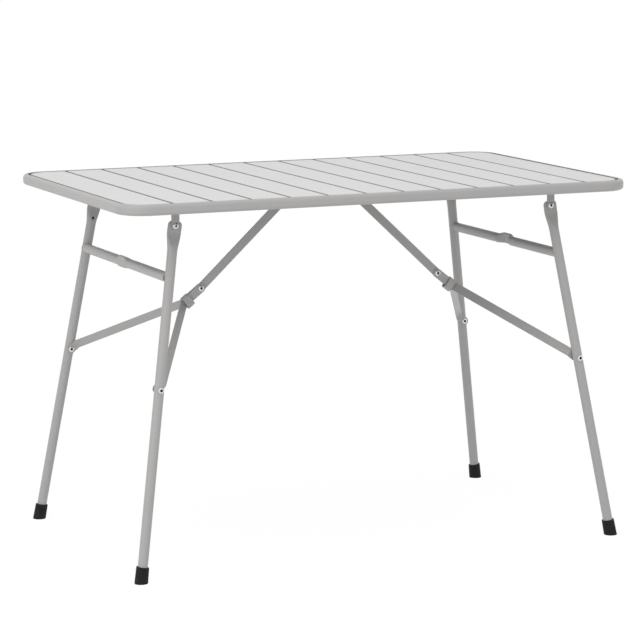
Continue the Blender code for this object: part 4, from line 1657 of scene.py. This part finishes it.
@dataclass
class Studio:
    """A plain white floor, soft lamps and the camera."""

    camera_place: tuple[float, float, float] = (-2.4533, -5.6375, 1.4047)
    yaw: float = 0.4102
    pitch: float = 0.1558
    roll: float = -0.0023
    lens: float = 168.16
    sensor: float = 36.0
    reach: float = 200.0
    floor_size: float = 60.0
    floor_drop: float = 0.0002
    floor_paint: float = 0.86
    floor_glow: float = 1.07
    glow_share: float = 0.86
    sky: tuple[float, float, float] = (0.97, 0.98, 1.0)
    world_strength: float = 0.72
    lamp_aim: tuple[float, float, float] = (0.0, 0.0, 0.5)
    top_lamp_place: tuple[float, float, float] = (-0.9, -1.2, 3.2)
    top_lamp_size: float = 2.6
    top_lamp_power: float = 16.0
    side_lamp_place: tuple[float, float, float] = (-3.2, -1.6, 1.6)
    side_lamp_size: float = 2.0
    side_lamp_power: float = 16.0

    @staticmethod
    def background_seen(tree: bpy.types.NodeTree) -> Socket:
        """Find where the background is looked at: straight, in a reflection or through a piece.

        Args:
            tree: The material's or the world's tree.

        Returns:
            The socket, 1 for such rays and 0 for the rest.
        """
        rays = add_node(tree, "ShaderNodeLightPath", {}).outputs
        mirrored = add_math(tree, "MAXIMUM", rays["Is Camera Ray"], rays["Is Glossy Ray"])
        return add_math(tree, "MAXIMUM", mirrored, rays["Is Transmission Ray"])

    def lay_floor(self) -> None:
        """Lay the floor: white to the camera, with a soft shadow."""
        floor = add_sheet("studio_floor", self.floor_size, self.floor_size, (0.0, 0.0, -self.floor_drop))
        material = bpy.data.materials.new("studio_white")
        material.use_nodes = True
        tree = material.node_tree
        tree.nodes.clear()
        paint = add_node(tree, "ShaderNodeBsdfDiffuse", {"Color": (*[self.floor_paint] * 3, 1.0)})
        glow = add_node(tree, "ShaderNodeEmission", {"Color": WHITE, "Strength": self.floor_glow})
        share = add_math(tree, "MULTIPLY", self.background_seen(tree), self.glow_share)
        mix = add_node(tree, "ShaderNodeMixShader", {"Fac": share, 1: paint.outputs["BSDF"],
                                                     2: glow.outputs["Emission"]})
        add_node(tree, "ShaderNodeOutputMaterial", {"Surface": mix.outputs["Shader"]})
        floor.data.materials.append(material)

    def light_world(self) -> None:
        """Light the world softly, and show it white to the camera and in reflections."""
        world = bpy.data.worlds.new("studio_world")
        bpy.context.scene.world = world
        world.use_nodes = True
        tree = world.node_tree
        soft = tree.nodes["Background"]
        feed(tree, soft, {"Color": (*self.sky, 1.0), "Strength": self.world_strength})
        white = add_node(tree, "ShaderNodeBackground", {"Color": WHITE})
        mix = add_node(tree, "ShaderNodeMixShader", {"Fac": self.background_seen(tree),
                                                     1: soft.outputs["Background"],
                                                     2: white.outputs["Background"]})
        feed(tree, tree.nodes["World Output"], {"Surface": mix.outputs["Shader"]})

    def hang_lamp(self, name: str, place: Sequence[float], size: float, power: float) -> None:
        """Hang a square soft lamp that faces the table.

        Args:
            name: The lamp's name.
            place: Where it hangs.
            size: The length of its side.
            power: Its power in watts.
        """
        put_down()
        bpy.ops.object.light_add(type="AREA", location=place)
        lamp = bpy.context.object
        lamp.name = name
        lamp.data.size = size
        lamp.data.energy = power
        aim = Vector(self.lamp_aim) - Vector(place)
        lamp.rotation_mode = "QUATERNION"
        lamp.rotation_quaternion = aim.to_track_quat("-Z", "Y")

    def set_camera(self) -> None:
        """Set the camera at the photograph's angle."""
        put_down()
        bpy.ops.object.camera_add(location=self.camera_place)
        camera = bpy.context.object
        camera.name = "photo_camera"
        ahead = math.cos(self.pitch)
        forward = Vector((math.sin(self.yaw) * ahead, math.cos(self.yaw) * ahead, -math.sin(self.pitch)))
        right = Vector((math.cos(self.yaw), -math.sin(self.yaw), 0.0))
        up = right.cross(forward)
        turned = math.cos(self.roll) * right + math.sin(self.roll) * up
        upright = math.cos(self.roll) * up - math.sin(self.roll) * right
        matrix = Matrix((turned, upright, -forward)).transposed().to_4x4()
        matrix.translation = self.camera_place
        camera.matrix_world = matrix
        camera.data.sensor_width = self.sensor
        camera.data.lens = self.lens
        camera.data.clip_end = self.reach
        bpy.context.scene.camera = camera

    def build(self) -> None:
        """Set up the floor, the light and the camera."""
        self.lay_floor()
        self.light_world()
        self.hang_lamp("lamp_above", self.top_lamp_place, self.top_lamp_size, self.top_lamp_power)
        self.hang_lamp("lamp_left", self.side_lamp_place, self.side_lamp_size, self.side_lamp_power)
        self.set_camera()
        bpy.context.scene.view_settings.view_transform = "Standard"


def main() -> None:
    """Build the table's pieces in order, then the studio."""
    logging.basicConfig(level=logging.INFO, format="%(name)s: %(message)s")
    finishes = Finishes({
        Slot.TOP_PAINT: PowderCoat("light_grey_top_coat", (0.725, 0.712, 0.703)).material(),
        Slot.FRAME_PAINT: PowderCoat("grey_frame_coat", (0.470, 0.459, 0.447)).material(),
        Slot.ZINC: ZincPlate().material(),
        Slot.RUBBER: BlackRubber().material(),
    })
    TableTop(finishes).build()
    for side in Side:
        LegPair(finishes, side).build()
        Brace(finishes, side).build()
    Studio().build()


if __name__ == "__main__":
    main()
